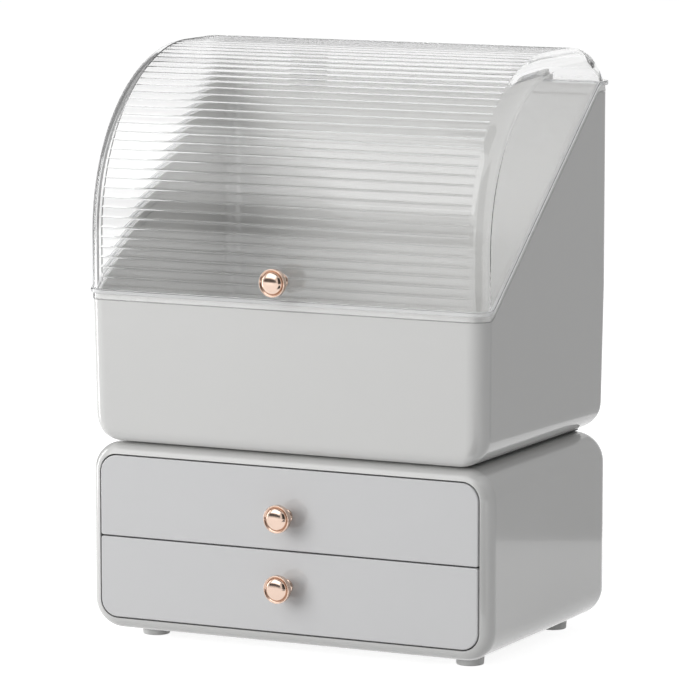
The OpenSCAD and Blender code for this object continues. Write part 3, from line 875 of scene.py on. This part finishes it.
@dataclass
class RimLine:
    """The line on which the vanity box and its lid meet: level, up a slope, level again."""

    front_z: float = 231.6 * MM
    rise: float = 132.5 * MM
    slope: float = 38.4
    back_y: float = 102.78 * MM
    level_back: float = 23 * MM
    soft: float = 10 * MM
    steps: int = 5

    def points(self, lift: float) -> Line:
        """Points of the line, from the front to the back.

        Args:
            lift: How far the line is moved square to itself.

        Returns:
            The points in Y and Z.
        """
        tilt = math.radians(self.slope)
        half = math.tan(tilt / 2)
        reach = self.soft * half
        top = self.front_z + self.rise
        end = self.back_y - self.level_back
        start = end - self.rise / math.tan(tilt)
        line = [(-0.4, self.front_z)]
        line += [(start - reach + self.soft * math.sin(a), self.front_z + self.soft * (1 - math.cos(a)))
                 for a in (tilt * i / self.steps for i in range(self.steps + 1))]
        line += [(end + reach - self.soft * math.sin(a), top - self.soft * (1 - math.cos(a)))
                 for a in (tilt * (1 - i / self.steps) for i in range(self.steps + 1))]
        line += [(0.4, top)]
        return [(y - lift * half, z + lift) for y, z in line]


@dataclass
class VanityBox:
    """The grey box with a low front, sloping side rims and a high back."""

    rim: RimLine
    width: float = 286 * MM
    front: float = -98.22 * MM
    depth: float = 201 * MM
    base: float = 133.8 * MM
    corner: float = 12.5 * MM
    side_round: float = 19 * MM
    front_round: float = 8 * MM
    back_round: float = 15 * MM
    wall: float = 3 * MM
    lean_side: float = 0.7
    lean_front: float = 1.1
    steps: int = 12
    hinge_x: float = 83 * MM
    hinge_width: float = 26 * MM
    lug_width: float = 6 * MM
    barrel: float = 3.4 * MM
    flange_out: float = 1.9 * MM
    flange: float = 3 * MM
    rim_step: float = 0.9 * MM
    rim_drop: float = 4.4 * MM
    plinth_inset: tuple[float, float, float] = (17 * MM, 24 * MM, 8 * MM)
    plinth_round: float = 6 * MM
    plinth_width: float = 3 * MM
    plinth_drop: float = 1.0 * MM
    plinth_hollow: float = 1.2 * MM

    @property
    def back(self) -> float:
        """The plane of the back wall at the rim."""
        return self.front + self.depth

    @property
    def hinge(self) -> Point:
        """Y and Z of the hinge pins."""
        out = self.flange_out + 0.4 * MM + self.barrel
        return self.back + out, self.rim.front_z + self.rim.rise + self.flange

    def outline(self, index: int, z: float, inset: tuple[float, float, float], corner: float) -> Vector:
        """A point on the box's rounded outline.

        Args:
            index: Number of the point, anticlockwise from the front left corner.
            z: Height.
            inset: How far the outline is drawn in at the sides, the front and the back.
            corner: Radius of its corners.

        Returns:
            The point.
        """
        down = min(0.0, z - self.rim.front_z)
        half = self.width / 2 + down * math.tan(math.radians(self.lean_side)) - inset[0]
        lean = down * math.tan(math.radians(self.lean_front))
        low, high = self.front - lean + inset[1], self.back + lean - inset[2]
        x, y = corner_point(index, self.steps, half, low, high, max(corner, LEAST_CORNER))
        return Vector((x, y, z))

    def way_out(self, point: Vector) -> tuple[Vector, Vector]:
        """Where a point's corner or side is centred, and the level way from there to the point.

        Args:
            point: A point near the rim.

        Returns:
            The centre and the way.
        """
        middle = (self.front + self.back) / 2
        core_x, core_y = self.width / 2 - self.corner, self.depth / 2 - self.corner
        anchor = Vector((max(-core_x, min(core_x, point.x)), middle + max(-core_y, min(core_y, point.y - middle)), 0))
        return anchor, Vector((point.x, point.y, 0)) - anchor

    def let_out(self, point: Vector, out: float) -> Vector:
        """Moves a point near the rim square to the box's walls.

        Args:
            point: The point.
            out: How far it moves outwards.

        Returns:
            The new point.
        """
        return point + self.way_out(point)[1].normalized() * out

    def rings(self) -> list[tuple[float, tuple[float, float, float], float]]:
        """Height, insets and corner radius of each ring, from the bottom up."""
        made = []
        for angle in quarter(self.steps):
            up = self.side_round * (1 - math.cos(angle))
            inset = tuple(0.0 if up >= r else r - math.sqrt(r * r - (r - up) ** 2)
                          for r in (self.side_round, self.front_round, self.back_round))
            made.append((self.base + up, inset, self.corner * (1 - 0.8 * inset[0] / self.side_round)))
        level = (0.0, 0.0, 0.0)
        made.append((self.rim.front_z, level, self.corner))
        made.append((self.rim.front_z + self.rim.rise + 10 * MM, level, self.corner))
        return made

    def build_shell(self, palette: Palette) -> None:
        """Makes the shell: a tapered tub cut along the rim line, with walls of even thickness."""
        rings = self.rings()
        around = 4 * (self.steps + 1)
        mesh = mapped_sheet(around + 1, len(rings), lambda i, j: self.outline(i, *rings[j]))
        floor = [e for e in mesh.edges if e.is_boundary and e.verts[0].co.z < self.base + 1e-6
                 and e.verts[1].co.z < self.base + 1e-6]
        bmesh.ops.contextual_create(mesh, geom=floor)
        trim(mesh, self.rim.points(-0.3 * MM), keep_above=False)
        for drop in (self.rim_drop, self.rim_drop - 0.1 * MM):
            cut_along(mesh, self.rim.points(-drop))
        ledge = self.rim.points(0.05 * MM - self.rim_drop)
        for vert in mesh.verts:
            if vert.co.z > height_on(ledge, vert.co.y):
                vert.co = self.let_out(vert.co, -self.rim_step)
        bmesh.ops.recalc_face_normals(mesh, faces=mesh.faces)
        if facing(mesh, (0, 0, -1)).calc_center_median().z > self.base + MM:
            bmesh.ops.reverse_faces(mesh, faces=mesh.faces)
        piece = finish_piece("tub", mesh, Body.UPPER_BOX, Slot.CASING, palette.casing, ["vanity_box"], recalc=False)
        wall = piece.modifiers.new("wall", "SOLIDIFY")
        wall.thickness, wall.offset, wall.use_even_offset = self.wall, -1.0, True
        edge = piece.modifiers.new("edge", "BEVEL")
        edge.width, edge.segments, edge.limit_method, edge.angle_limit = 0.7 * MM, 3, "ANGLE", math.radians(60.0)
        weigh_normals(piece)

    def build_plinth(self, palette: Palette) -> None:
        """Makes the recessed bead that closes the gap over the cabinet; it is painted near-black as the shade in that
        gap.
        """
        side, front, back = self.plinth_inset
        half = self.width / 2 - side
        low, high = self.base - self.plinth_drop, self.base + 2 * MM
        mesh = block((-half, self.front + front, low), (half, self.back - back, high))
        bevel(mesh, along(mesh.edges, 2), self.plinth_round, 8)
        deepen(mesh, facing(mesh, (0, 0, -1)), self.plinth_width, 0.0)
        below = (f for f in mesh.faces if f.normal.z < -0.9)
        hollow = min(below, key=lambda f: abs(f.calc_center_median().x) + f.calc_center_median().z - f.calc_area())
        deepen(mesh, hollow, 0.0, -self.plinth_hollow)
        finish_piece("plinth", mesh, Body.UPPER_BOX, Slot.CASING, palette.seam)

    def build_lugs(self, palette: Palette) -> None:
        """Makes the two pairs of hinge lugs on the back wall."""
        hinge_y, hinge_z = self.hinge
        root = self.rim.front_z + self.rim.rise - 0.8 * MM
        r = self.barrel
        outline = [(self.back - 1.6 * MM, root), (hinge_y - r, root), (hinge_y - r, hinge_z), (hinge_y + r, hinge_z),
                   (hinge_y + r / 2, hinge_z - 7.5 * MM), (self.back - 1.6 * MM, hinge_z - 15 * MM)]
        mesh = bmesh.new()
        for x in (-self.hinge_x, self.hinge_x):
            for side in (-1, 1):
                middle = x + side * (self.hinge_width - self.lug_width) / 2
                prism(mesh, outline, middle, self.lug_width)
                rod(mesh, (middle, hinge_y, hinge_z), r, self.lug_width)
        finish_piece("hinge_lugs", mesh, Body.UPPER_BOX, Slot.CASING, palette.casing)

    def build(self, palette: Palette) -> None:
        """Makes all pieces of the box."""
        self.build_shell(palette)
        self.build_plinth(palette)
        self.build_lugs(palette)


@dataclass
class Lid:
    """The clear dome lid with its reeds, flange, skirt, knob and hinge barrels."""

    box: VanityBox
    wall: float = 2.5 * MM
    rise: float = 26.2 * MM
    dome: float = 120 * MM
    back_round: float = 45 * MM
    edge_round: float = 11 * MM
    flange: float = 3 * MM
    flange_out: float = 1.9 * MM
    skirt: float = 4 * MM
    skirt_out: float = 0.6 * MM
    rib_pitch: float = 6.55 * MM
    flute_depth: float = 0.14 * MM
    ridge_height: float = 0.28 * MM
    ridge_share: float = 0.24
    rib_recess: float = 0.3 * MM
    rib_start: float = 4.6 * MM
    rib_count: int = 41
    rib_stops: tuple[float, ...] = (0.0, 0.025, 0.05, 0.075, 0.1, 0.125, 0.25, 0.375, 0.5, 0.625, 0.75, 0.875,
                                    0.9, 0.925, 0.95, 0.975)
    # Stops on the lower flank of each ridge that carry painted shade.
    painted_shade_stops: tuple[float, ...] = (0.9, 0.925, 0.95)
    rib_fade: float = 1.0 * MM
    edge_steps: int = 10
    below: float = 16 * MM
    opening: float = 105.0

    @property
    def rim(self) -> RimLine:
        """The rim line that the lid closes on."""
        return self.box.rim

    @property
    def top(self) -> float:
        """Height of the dome's top."""
        return self.rim.front_z + self.rim.rise + self.rise

    def on_profile(self, length: float, depth: float) -> Point:
        """A point of the lid's profile.

        Args:
            length: Length along the outer profile from the front rim.
            depth: Depth under it.

        Returns:
            Y and Z.
        """
        front, back = self.box.front, self.box.back + MM
        dome_y, dome_z = front + self.dome, self.top - self.dome
        back_y, back_z = back - self.back_round, self.top - self.back_round
        upright = dome_z - self.rim.front_z
        curve = self.dome * math.pi / 2
        level = back_y - dome_y
        if length < upright:
            return front + depth, self.rim.front_z + length
        if length < upright + curve:
            a = math.pi - (length - upright) / self.dome
            return dome_y + (self.dome - depth) * math.cos(a), dome_z + (self.dome - depth) * math.sin(a)
        if length < upright + curve + level:
            return dome_y + length - upright - curve, self.top - depth
        a = math.pi / 2 - (length - upright - curve - level) / self.back_round
        return back_y + (self.back_round - depth) * math.cos(a), back_z + (self.back_round - depth) * math.sin(a)

    def stations(self) -> list[float]:
        """Lengths along the profile at which the sheet has a row."""
        upright = self.top - self.dome - self.rim.front_z
        total = upright + self.dome * math.pi / 2 + (self.box.depth + MM - self.back_round - self.dome) \
            + self.back_round * math.pi / 2
        rows = [-self.below, 0.0]
        rows += [self.rib_start + self.rib_pitch * (i + stop) for i in range(self.rib_count) for stop in self.rib_stops]
        rows.append(self.rib_start + self.rib_pitch * self.rib_count)
        rest = total - rows[-1]
        count = max(4, round(rest / (3 * MM)))
        rows += [rows[-1] + rest * i / count for i in range(1, count + 1)]
        return rows

    def columns(self) -> Line:
        """X and inset of each column, from the left to the right."""
        half, r = self.box.width / 2, self.edge_round
        left = []
        for a in quarter(self.edge_steps):
            left.append((-half + r * (1 - math.cos(a)), r * (1 - math.sin(a))))
        left += [(-half + r + self.rib_fade * i / 3, 0.0) for i in (1, 2, 3)]
        left += [(-half + r + self.rib_fade + 30 * MM, 0.0), (-45 * MM, 0.0)]
        return left + [(-x, inset) for x, inset in reversed(left)]

    def rib(self, length: float, x: float) -> float:
        """Depth of the reeded surface under the smooth one: shallow flutes between narrow ridges.

        Args:
            length: Length along the profile.
            x: Place across the lid.

        Returns:
            The depth.
        """
        phase = (length - self.rib_start) / self.rib_pitch
        if phase < -1e-6 or phase > self.rib_count + 1e-6:
            return 0.0
        inside = self.box.width / 2 - self.edge_round - abs(x)
        share = min(1.0, max(0.0, inside / self.rib_fade))
        share = share * share * (3 - 2 * share)
        cycle = abs(2.0 * (phase - math.floor(phase + 1e-9)) - 1.0)
        climb = max(0.0, (cycle - 1.0) / self.ridge_share + 1.0)
        ridge = self.ridge_height * climb * climb * (3 - 2 * climb)
        return share * (self.rib_recess + self.flute_depth * (1 - cycle * cycle) - ridge)

    def dome_sheet(self, depth: float, ribs: bool) -> bmesh.types.BMesh:
        """The dome with its side walls, open below.

        Args:
            depth: How far it lies under the outer form.
            ribs: Whether it has the reeds.

        Returns:
            The mesh.
        """
        rows, columns = self.stations(), self.columns()
        if not ribs:
            rows = rows[:2] + rows[2::len(self.rib_stops) // 2]
        half = self.box.width / 2

        def place(i: int, j: int) -> Vector:
            """Where the grid's point goes."""
            x, inset = columns[i]
            under = inset * (self.edge_round - depth) / self.edge_round
            reach = (abs(x) - half + self.edge_round) * (self.edge_round - depth) / self.edge_round
            across = math.copysign(half - self.edge_round + reach, x) if reach > 0 else x
            down = self.rib(rows[j], x) if ribs else 0.0
            y, z = self.on_profile(rows[j], depth + under + down)
            return Vector((across, y, z))

        mesh = mapped_sheet(len(columns), len(rows), place)
        if ribs:
            self.mark_painted_flank_shade(mesh, rows)
        wall = half - depth
        for side in (-1, 1):
            edge = [e for e in mesh.edges if e.is_boundary and all(abs(v.co.x - side * wall) < 1e-6 for v in e.verts)]
            made = bmesh.ops.contextual_create(mesh, geom=edge)
            bmesh.ops.inset_region(mesh, faces=made["faces"], thickness=0.3 * MM, use_even_offset=True)
        return mesh

    def mark_painted_flank_shade(self, mesh: bmesh.types.BMesh, rows: list[float]) -> None:
        """Marks the lower flank of each ridge for the clear material with painted shade, a dark band under each ridge's
        highlight.

        Args:
            mesh: The reeded sheet.
            rows: Lengths of its rows along the profile.
        """
        first, count = 2, len(self.rib_stops)
        middles = [0.5 * (rows[j] + rows[j + 1]) for j in range(first, first + count * self.rib_count)
                   if self.rib_stops[(j - first) % count] in self.painted_shade_stops]
        tree = KDTree(len(middles))
        for number, length in enumerate(middles):
            tree.insert((0.0, *self.on_profile(length, self.rib(length, 0.0))), number)
        tree.balance()
        inside = self.box.width / 2 - self.edge_round
        for face in mesh.faces:
            middle = face.calc_center_median()
            if abs(middle.x) < inside:
                near = tree.find((0.0, middle.y, middle.z))[2] < 0.07 * MM
                face.material_index = Part.PAINTED_FLANK_SHADE.value if near else Part.BODY.value

    def to_outline(self, point: Vector, out: float) -> Vector:
        """Moves a point near the rim to the box's outline, let out by a distance.

        Args:
            point: The point.
            out: How far the outline is let out.

        Returns:
            The new point.
        """
        anchor, way = self.box.way_out(point)
        if way.length < 1e-9:
            return point.copy()
        spot = anchor + way.normalized() * (self.box.corner + out)
        return Vector((spot.x, spot.y, point.z))

    def build_dome(self, palette: Palette) -> None:
        """Makes the dome, and from its edge the flange and the skirt, and closes it with the inner face."""
        outer = self.dome_sheet(0.0, ribs=True)
        trim(outer, self.rim.points(self.flange), keep_above=True)
        end = self.box.back - self.box.corner - 1.1 * MM
        for y in (end, end + 0.2 * MM):
            bmesh.ops.bisect_plane(outer, geom=[*outer.verts, *outer.edges, *outer.faces], dist=1e-7,
                                   plane_co=(0, y, 0), plane_no=(0, 1, 0))
        half = math.tan(math.radians(self.rim.slope) / 2)
        loop = [e for e in outer.edges if e.is_boundary]
        home = {v: v.co.copy() for e in loop for v in e.verts}
        soft, half_soft, out = 0.6 * MM, 0.18 * MM, self.flange_out
        # Part of each step: flange faces get pale painted highlight bands, edge lines get dark painted shade and dark
        # reflection.
        steps = [
            (self.flange, out - soft, Part.PAINTED_HIGHLIGHT_BAND), (self.flange - half_soft, out - half_soft, Part.PAINTED_HIGHLIGHT_BAND),
            (self.flange - soft, out, Part.PAINTED_SHADE_LINE), (soft, out, Part.PAINTED_HIGHLIGHT_BAND), (half_soft, out - half_soft, Part.PAINTED_HIGHLIGHT_BAND),
            (0.0, out - soft, Part.PAINTED_SHADE_LINE), (0.0, self.skirt_out, Part.PAINTED_SHADE_LINE),
            (-self.skirt + 0.5 * MM, self.skirt_out, Part.BODY), (-self.skirt, self.skirt_out - 0.2 * MM, Part.PAINTED_SHADE_LINE),
            (-self.skirt, -0.5 * MM, Part.BODY), (0.0, -0.5 * MM, Part.BODY),
        ]
        for level, reach, part in steps:
            made = bmesh.ops.extrude_edge_only(outer, edges=loop)["geom"]
            fresh = [g for g in made if isinstance(g, bmesh.types.BMVert)]
            for face in (g for g in made if isinstance(g, bmesh.types.BMFace)):
                face.material_index = part.value
            loop = [g for g in made if isinstance(g, bmesh.types.BMEdge) and g.is_boundary]
            moved = {}
            for vert in fresh:
                start = home[self.parent_of(vert, home)]
                lift = level if level >= 0 or start.y < end + 0.1 * MM else 0.0
                drop = self.flange - lift
                point = Vector((start.x, start.y + drop * half, start.z - drop))
                vert.co = self.to_outline(point, reach)
                moved[vert] = start
            home = moved
        inner = self.dome_sheet(self.wall, ribs=False)
        trim(inner, self.rim.points(0.0), keep_above=True)
        bmesh.ops.reverse_faces(inner, faces=inner.faces)
        data = bpy.data.meshes.new("inner_face")
        inner.to_mesh(data)
        inner.free()
        outer.from_mesh(data)
        bpy.data.meshes.remove(data)
        open_edges = [e for e in outer.edges if e.is_boundary]
        bmesh.ops.bridge_loops(outer, edges=open_edges)
        dome = finish_piece("dome", outer, Body.LID, Slot.CLEAR, palette.clear, ["lid"], sharp=50.0,
                            more=(palette.clear_painted_highlight_band, palette.clear_line, palette.clear_painted_flank_shade))
        weigh_normals(dome)

    @staticmethod
    def parent_of(vert: bmesh.types.BMVert, home: dict[bmesh.types.BMVert, Vector]) -> bmesh.types.BMVert:
        """The point of the last loop from which a new one was drawn."""
        return next(e.other_vert(vert) for e in vert.link_edges if e.other_vert(vert) in home)

    def build_barrels(self, palette: Palette) -> None:
        """Makes the two hinge barrels with their webs and stop tabs."""
        box = self.box
        hinge_y, hinge_z = box.hinge
        width = box.hinge_width - 2 * box.lug_width - 0.6 * MM
        rim_top = self.rim.front_z + self.rim.rise
        r = box.barrel
        out = hinge_y - box.back
        web = [(box.back + 1.6 * MM, rim_top + 0.4 * MM), (hinge_y, hinge_z - 0.9 * r), (hinge_y, hinge_z + 0.9 * r),
               (box.back + 1.6 * MM, hinge_z)]
        turn = math.radians(self.opening)
        tab = []
        for y, z in ((0.0, 0.5), (-out / MM + 0.25, -3.4), (-out / MM + 0.25, -5.0), (0.0, -2.5)):
            tab.append((hinge_y + (y * math.cos(turn) - z * math.sin(turn)) * MM,
                        hinge_z + (y * math.sin(turn) + z * math.cos(turn)) * MM))
        mesh = bmesh.new()
        for x in (-box.hinge_x, box.hinge_x):
            rod(mesh, (x, hinge_y, hinge_z), r, width)
            prism(mesh, web, x, width)
            prism(mesh, tab, x, width - 2 * MM)
        finish_piece("hinge_barrels", mesh, Body.LID, Slot.CLEAR, palette.clear)

    def build(self, palette: Palette) -> None:
        """Makes all pieces of the lid."""
        self.build_dome(palette)
        self.build_barrels(palette)
        Knob("pull_lid", "knob_lid", Body.LID, 0.0, self.box.front, self.rim.front_z + 15.5 * MM).build(palette)


def dress_nodes(palette: Palette) -> None:
    """Gives the CAD nodes that stay their materials.

    Args:
        palette: The materials.
    """
    steel = palette.metal(MetalFinish("zinc_steel", STEEL, 0.28))
    inner = ["cabinet_shelf", "rail_upper_left", "rail_upper_right", "rail_lower_left", "rail_lower_right",
             "drawer_tray_upper", "drawer_tray_lower"]
    plan = {name: palette.inner for name in inner}
    plan["stacking_pads"] = palette.rubber
    for name in ("knob_screw_upper", "knob_screw_lower", "knob_screw_lid", "hinge_pin_left", "hinge_pin_right"):
        plan[name] = steel
    for name, material in plan.items():
        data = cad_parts[name].data
        data.materials.clear()
        data.materials.append(material)
        LOG.info("node %s: %s", name, material.name)


@dataclass(frozen=True)
class Lamp:
    """A rectangular soft lamp: where it stands, what it points at, its size and its power in watts."""

    name: str
    spot: Spot
    aim: Spot
    size: Point
    power: float
    mirrored: bool = False

    def build(self) -> None:
        """Adds the lamp, which only glossy surfaces show, and they only where it is mirrored."""
        data = bpy.data.lights.new(self.name, "AREA")
        data.shape, data.energy = "RECTANGLE", self.power
        data.size, data.size_y = self.size
        made = bpy.data.objects.new(self.name, data)
        made.location = self.spot
        made.rotation_euler = (Vector(self.aim) - Vector(self.spot)).to_track_quat("-Z", "Y").to_euler()
        made.visible_glossy = self.mirrored
        made.visible_camera = made.visible_transmission = False
        bpy.context.scene.collection.objects.link(made)


@dataclass(frozen=True)
class Card:
    """A card that only mirrors and glass show: its middle, the ways of its width and length, size and glow."""

    name: str
    centre: Spot
    across: Spot
    along: Spot
    size: Point
    glow: float

    def build(self) -> None:
        """Adds the card."""
        mesh = bmesh.new()
        bmesh.ops.create_grid(mesh, x_segments=1, y_segments=1, size=0.5)
        across, along_way = Vector(self.across) * self.size[0], Vector(self.along) * self.size[1]
        for vert in mesh.verts:
            vert.co = Vector(self.centre) + across * vert.co.x + along_way * vert.co.y
        card = new_mesh(self.name, mesh)
        material, shader = new_material(self.name + "_card")
        shader.inputs["Base Color"].default_value = (0.02, 0.02, 0.02, 1.0)
        shader.inputs["Roughness"].default_value = 1.0
        shader.inputs["Emission Color"].default_value = (1.0, 1.0, 1.0, 1.0)
        shader.inputs["Emission Strength"].default_value = self.glow
        card.data.materials.append(material)
        card.visible_camera = card.visible_diffuse = card.visible_shadow = False


@dataclass
class Studio:
    """Camera, lamps, floor and background."""

    camera_at: tuple[float, float, float] = (1.3848496, -2.8147753, 0.6274032)
    azimuth: float = 26.18562
    elevation: float = 7.93512
    sensor: float = 36.0
    focal_pixels: float = 4793.339
    picture_pixels: float = 700.0
    lamps: tuple[Lamp, ...] = (
        Lamp("key", (-1.5, -2.6, 0.95), (0, 0, 0.2), (1.8, 1.5), 48.0),
        Lamp("strip", (-0.72, -0.08, 0.25), (0, 0, 0.25), (0.1, 0.5), 0.8, mirrored=True),
        Lamp("fill", (2.0, -0.4, 1.6), (0, 0, 0.3), (1.2, 1.2), 3.0),
        Lamp("rear", (1.7, 1.9, 0.8), (0, 0.1, 0.2), (1.2, 1.2), 2.0),
        Lamp("glint", (-0.79, -1.63, 1.62), (0, 0, 0.25), (2.2, 0.5), 10.0, mirrored=True),
        Lamp("top", (0.0, 0.2, 2.2), (0, 0, 0.2), (1.6, 1.6), 10.0),
    )
    cards: tuple[Card, ...] = (
        Card("flag_left", (-1.83, 0.88, 0.9), (0.8973691, 0.4412806, 0.0), UP, (1.6, 2.4), 0.2),
        Card("flag_right", (0.34, 0.36, 0.21), (0.897, -0.441, 0.0), UP, (0.5, 0.42), 0.65),
        Card("flag_front", (1.35, -1.3, 0.75), (0.69, 0.72, 0.0), UP, (1.6, 1.9), 0.03),
        Card("flag_low", (0.39, -0.5, 0.002), (0.707, 0.707, 0.0), (0.707, -0.707, 0.0), (0.3, 0.55), 0.03),
        Card("flag_band", (-0.75, -1.41, 0.42), (0.87, -0.5, 0.0), UP, (2.2, 0.4), 0.1),
        Card("card_high", (-0.72, -1.5, 1.5), (0.9, -0.436, 0.0), (0.31, 0.64, 0.7), (2.4, 1.5), 2.6),
        Card("flag_over", (0.2, -0.85, 2.0), (1.0, 0.0, 0.0), (0.0, 1.0, 0.0), (1.8, 0.7), 0.06),
    )
    bounces: int = 32
    glossy_bounces: int = 12

    def build_camera(self) -> None:
        """Sets the camera at the photograph's viewpoint."""
        data = bpy.data.cameras.new("viewpoint")
        data.sensor_width = self.sensor
        data.lens = self.sensor * self.focal_pixels / self.picture_pixels
        camera = bpy.data.objects.new("viewpoint", data)
        camera.location = self.camera_at
        camera.rotation_euler = (math.radians(90.0 - self.elevation), 0.0, math.radians(self.azimuth))
        bpy.context.scene.collection.objects.link(camera)
        bpy.context.scene.camera = camera

    def build_world(self) -> None:
        """Gives a soft grey surround that the camera, mirrors and glass see as white."""
        world = bpy.data.worlds.new("surround")
        bpy.context.scene.world = world
        world.use_nodes = True
        nodes, links = world.node_tree.nodes, world.node_tree.links
        nodes.clear()
        out = nodes.new("ShaderNodeOutputWorld")
        white, soft, mix = (nodes.new("ShaderNodeBackground"), nodes.new("ShaderNodeBackground"),
                            nodes.new("ShaderNodeMixShader"))
        white.inputs["Color"].default_value = (1.0, 1.0, 1.0, 1.0)
        soft.inputs["Color"].default_value = (0.27, 0.27, 0.273, 1.0)
        links.new(self.looked_at(nodes, links), mix.inputs["Fac"])
        links.new(soft.outputs[0], mix.inputs[1])
        links.new(white.outputs[0], mix.inputs[2])
        links.new(mix.outputs[0], out.inputs["Surface"])

    @staticmethod
    def looked_at(nodes: bpy.types.Nodes, links: bpy.types.NodeLinks) -> bpy.types.NodeSocket:
        """One for camera, glossy and transmission rays, and zero for the rays that carry light.

        Args:
            nodes: Nodes of the tree.
            links: Links of the tree.

        Returns:
            The factor socket.
        """
        path = nodes.new("ShaderNodeLightPath")
        seen = path.outputs["Is Camera Ray"]
        for name in ("Is Glossy Ray", "Is Transmission Ray"):
            either = nodes.new("ShaderNodeMath")
            either.operation = "MAXIMUM"
            links.new(seen, either.inputs[0])
            links.new(path.outputs[name], either.inputs[1])
            seen = either.outputs[0]
        return seen

    def build_floor(self) -> None:
        """Lays a pale floor that runs out to white and keeps the object's shadow."""
        mesh = bmesh.new()
        bmesh.ops.create_grid(mesh, x_segments=2, y_segments=2, size=6.0)
        floor = new_mesh("floor", mesh)
        material, shader = new_material("pale_floor")
        nodes, links = material.node_tree.nodes, material.node_tree.links
        shader.inputs["Base Color"].default_value = (0.66, 0.66, 0.66, 1.0)
        shader.inputs["Roughness"].default_value = 0.9
        shader.inputs["Specular IOR Level"].default_value = 0.0
        glow = nodes.new("ShaderNodeEmission")
        add = nodes.new("ShaderNodeAddShader")
        scale = nodes.new("ShaderNodeMath")
        scale.operation = "MULTIPLY"
        scale.inputs[1].default_value = 0.84
        links.new(self.looked_at(nodes, links), scale.inputs[0])
        links.new(scale.outputs[0], glow.inputs["Strength"])
        links.new(shader.outputs[0], add.inputs[0])
        links.new(glow.outputs[0], add.inputs[1])
        links.new(add.outputs[0], nodes["Material Output"].inputs["Surface"])
        floor.data.materials.append(material)

    def build(self) -> None:
        """Builds the whole studio."""
        bpy.context.scene.view_settings.view_transform = "Standard"
        self.build_camera()
        for piece in (*self.lamps, *self.cards):
            piece.build()
        self.build_world()
        self.build_floor()
        tracing = bpy.context.scene.cycles
        tracing.max_bounces = tracing.transmission_bounces = tracing.transparent_max_bounces = self.bounces
        tracing.glossy_bounces = self.glossy_bounces


def main() -> None:
    """Builds the scene."""
    logging.basicConfig(level=logging.INFO, format="%(message)s")
    Studio().build()
    palette = Palette()
    cabinet = Cabinet()
    cabinet.build(palette)
    Drawer(Level.UPPER, Body.DRAWER_UPPER, cabinet).build(palette)
    Drawer(Level.LOWER, Body.DRAWER_LOWER, cabinet).build(palette)
    box = VanityBox(RimLine())
    box.build(palette)
    Lid(box).build(palette)
    dress_nodes(palette)


if __name__ == "__main__":
    main()
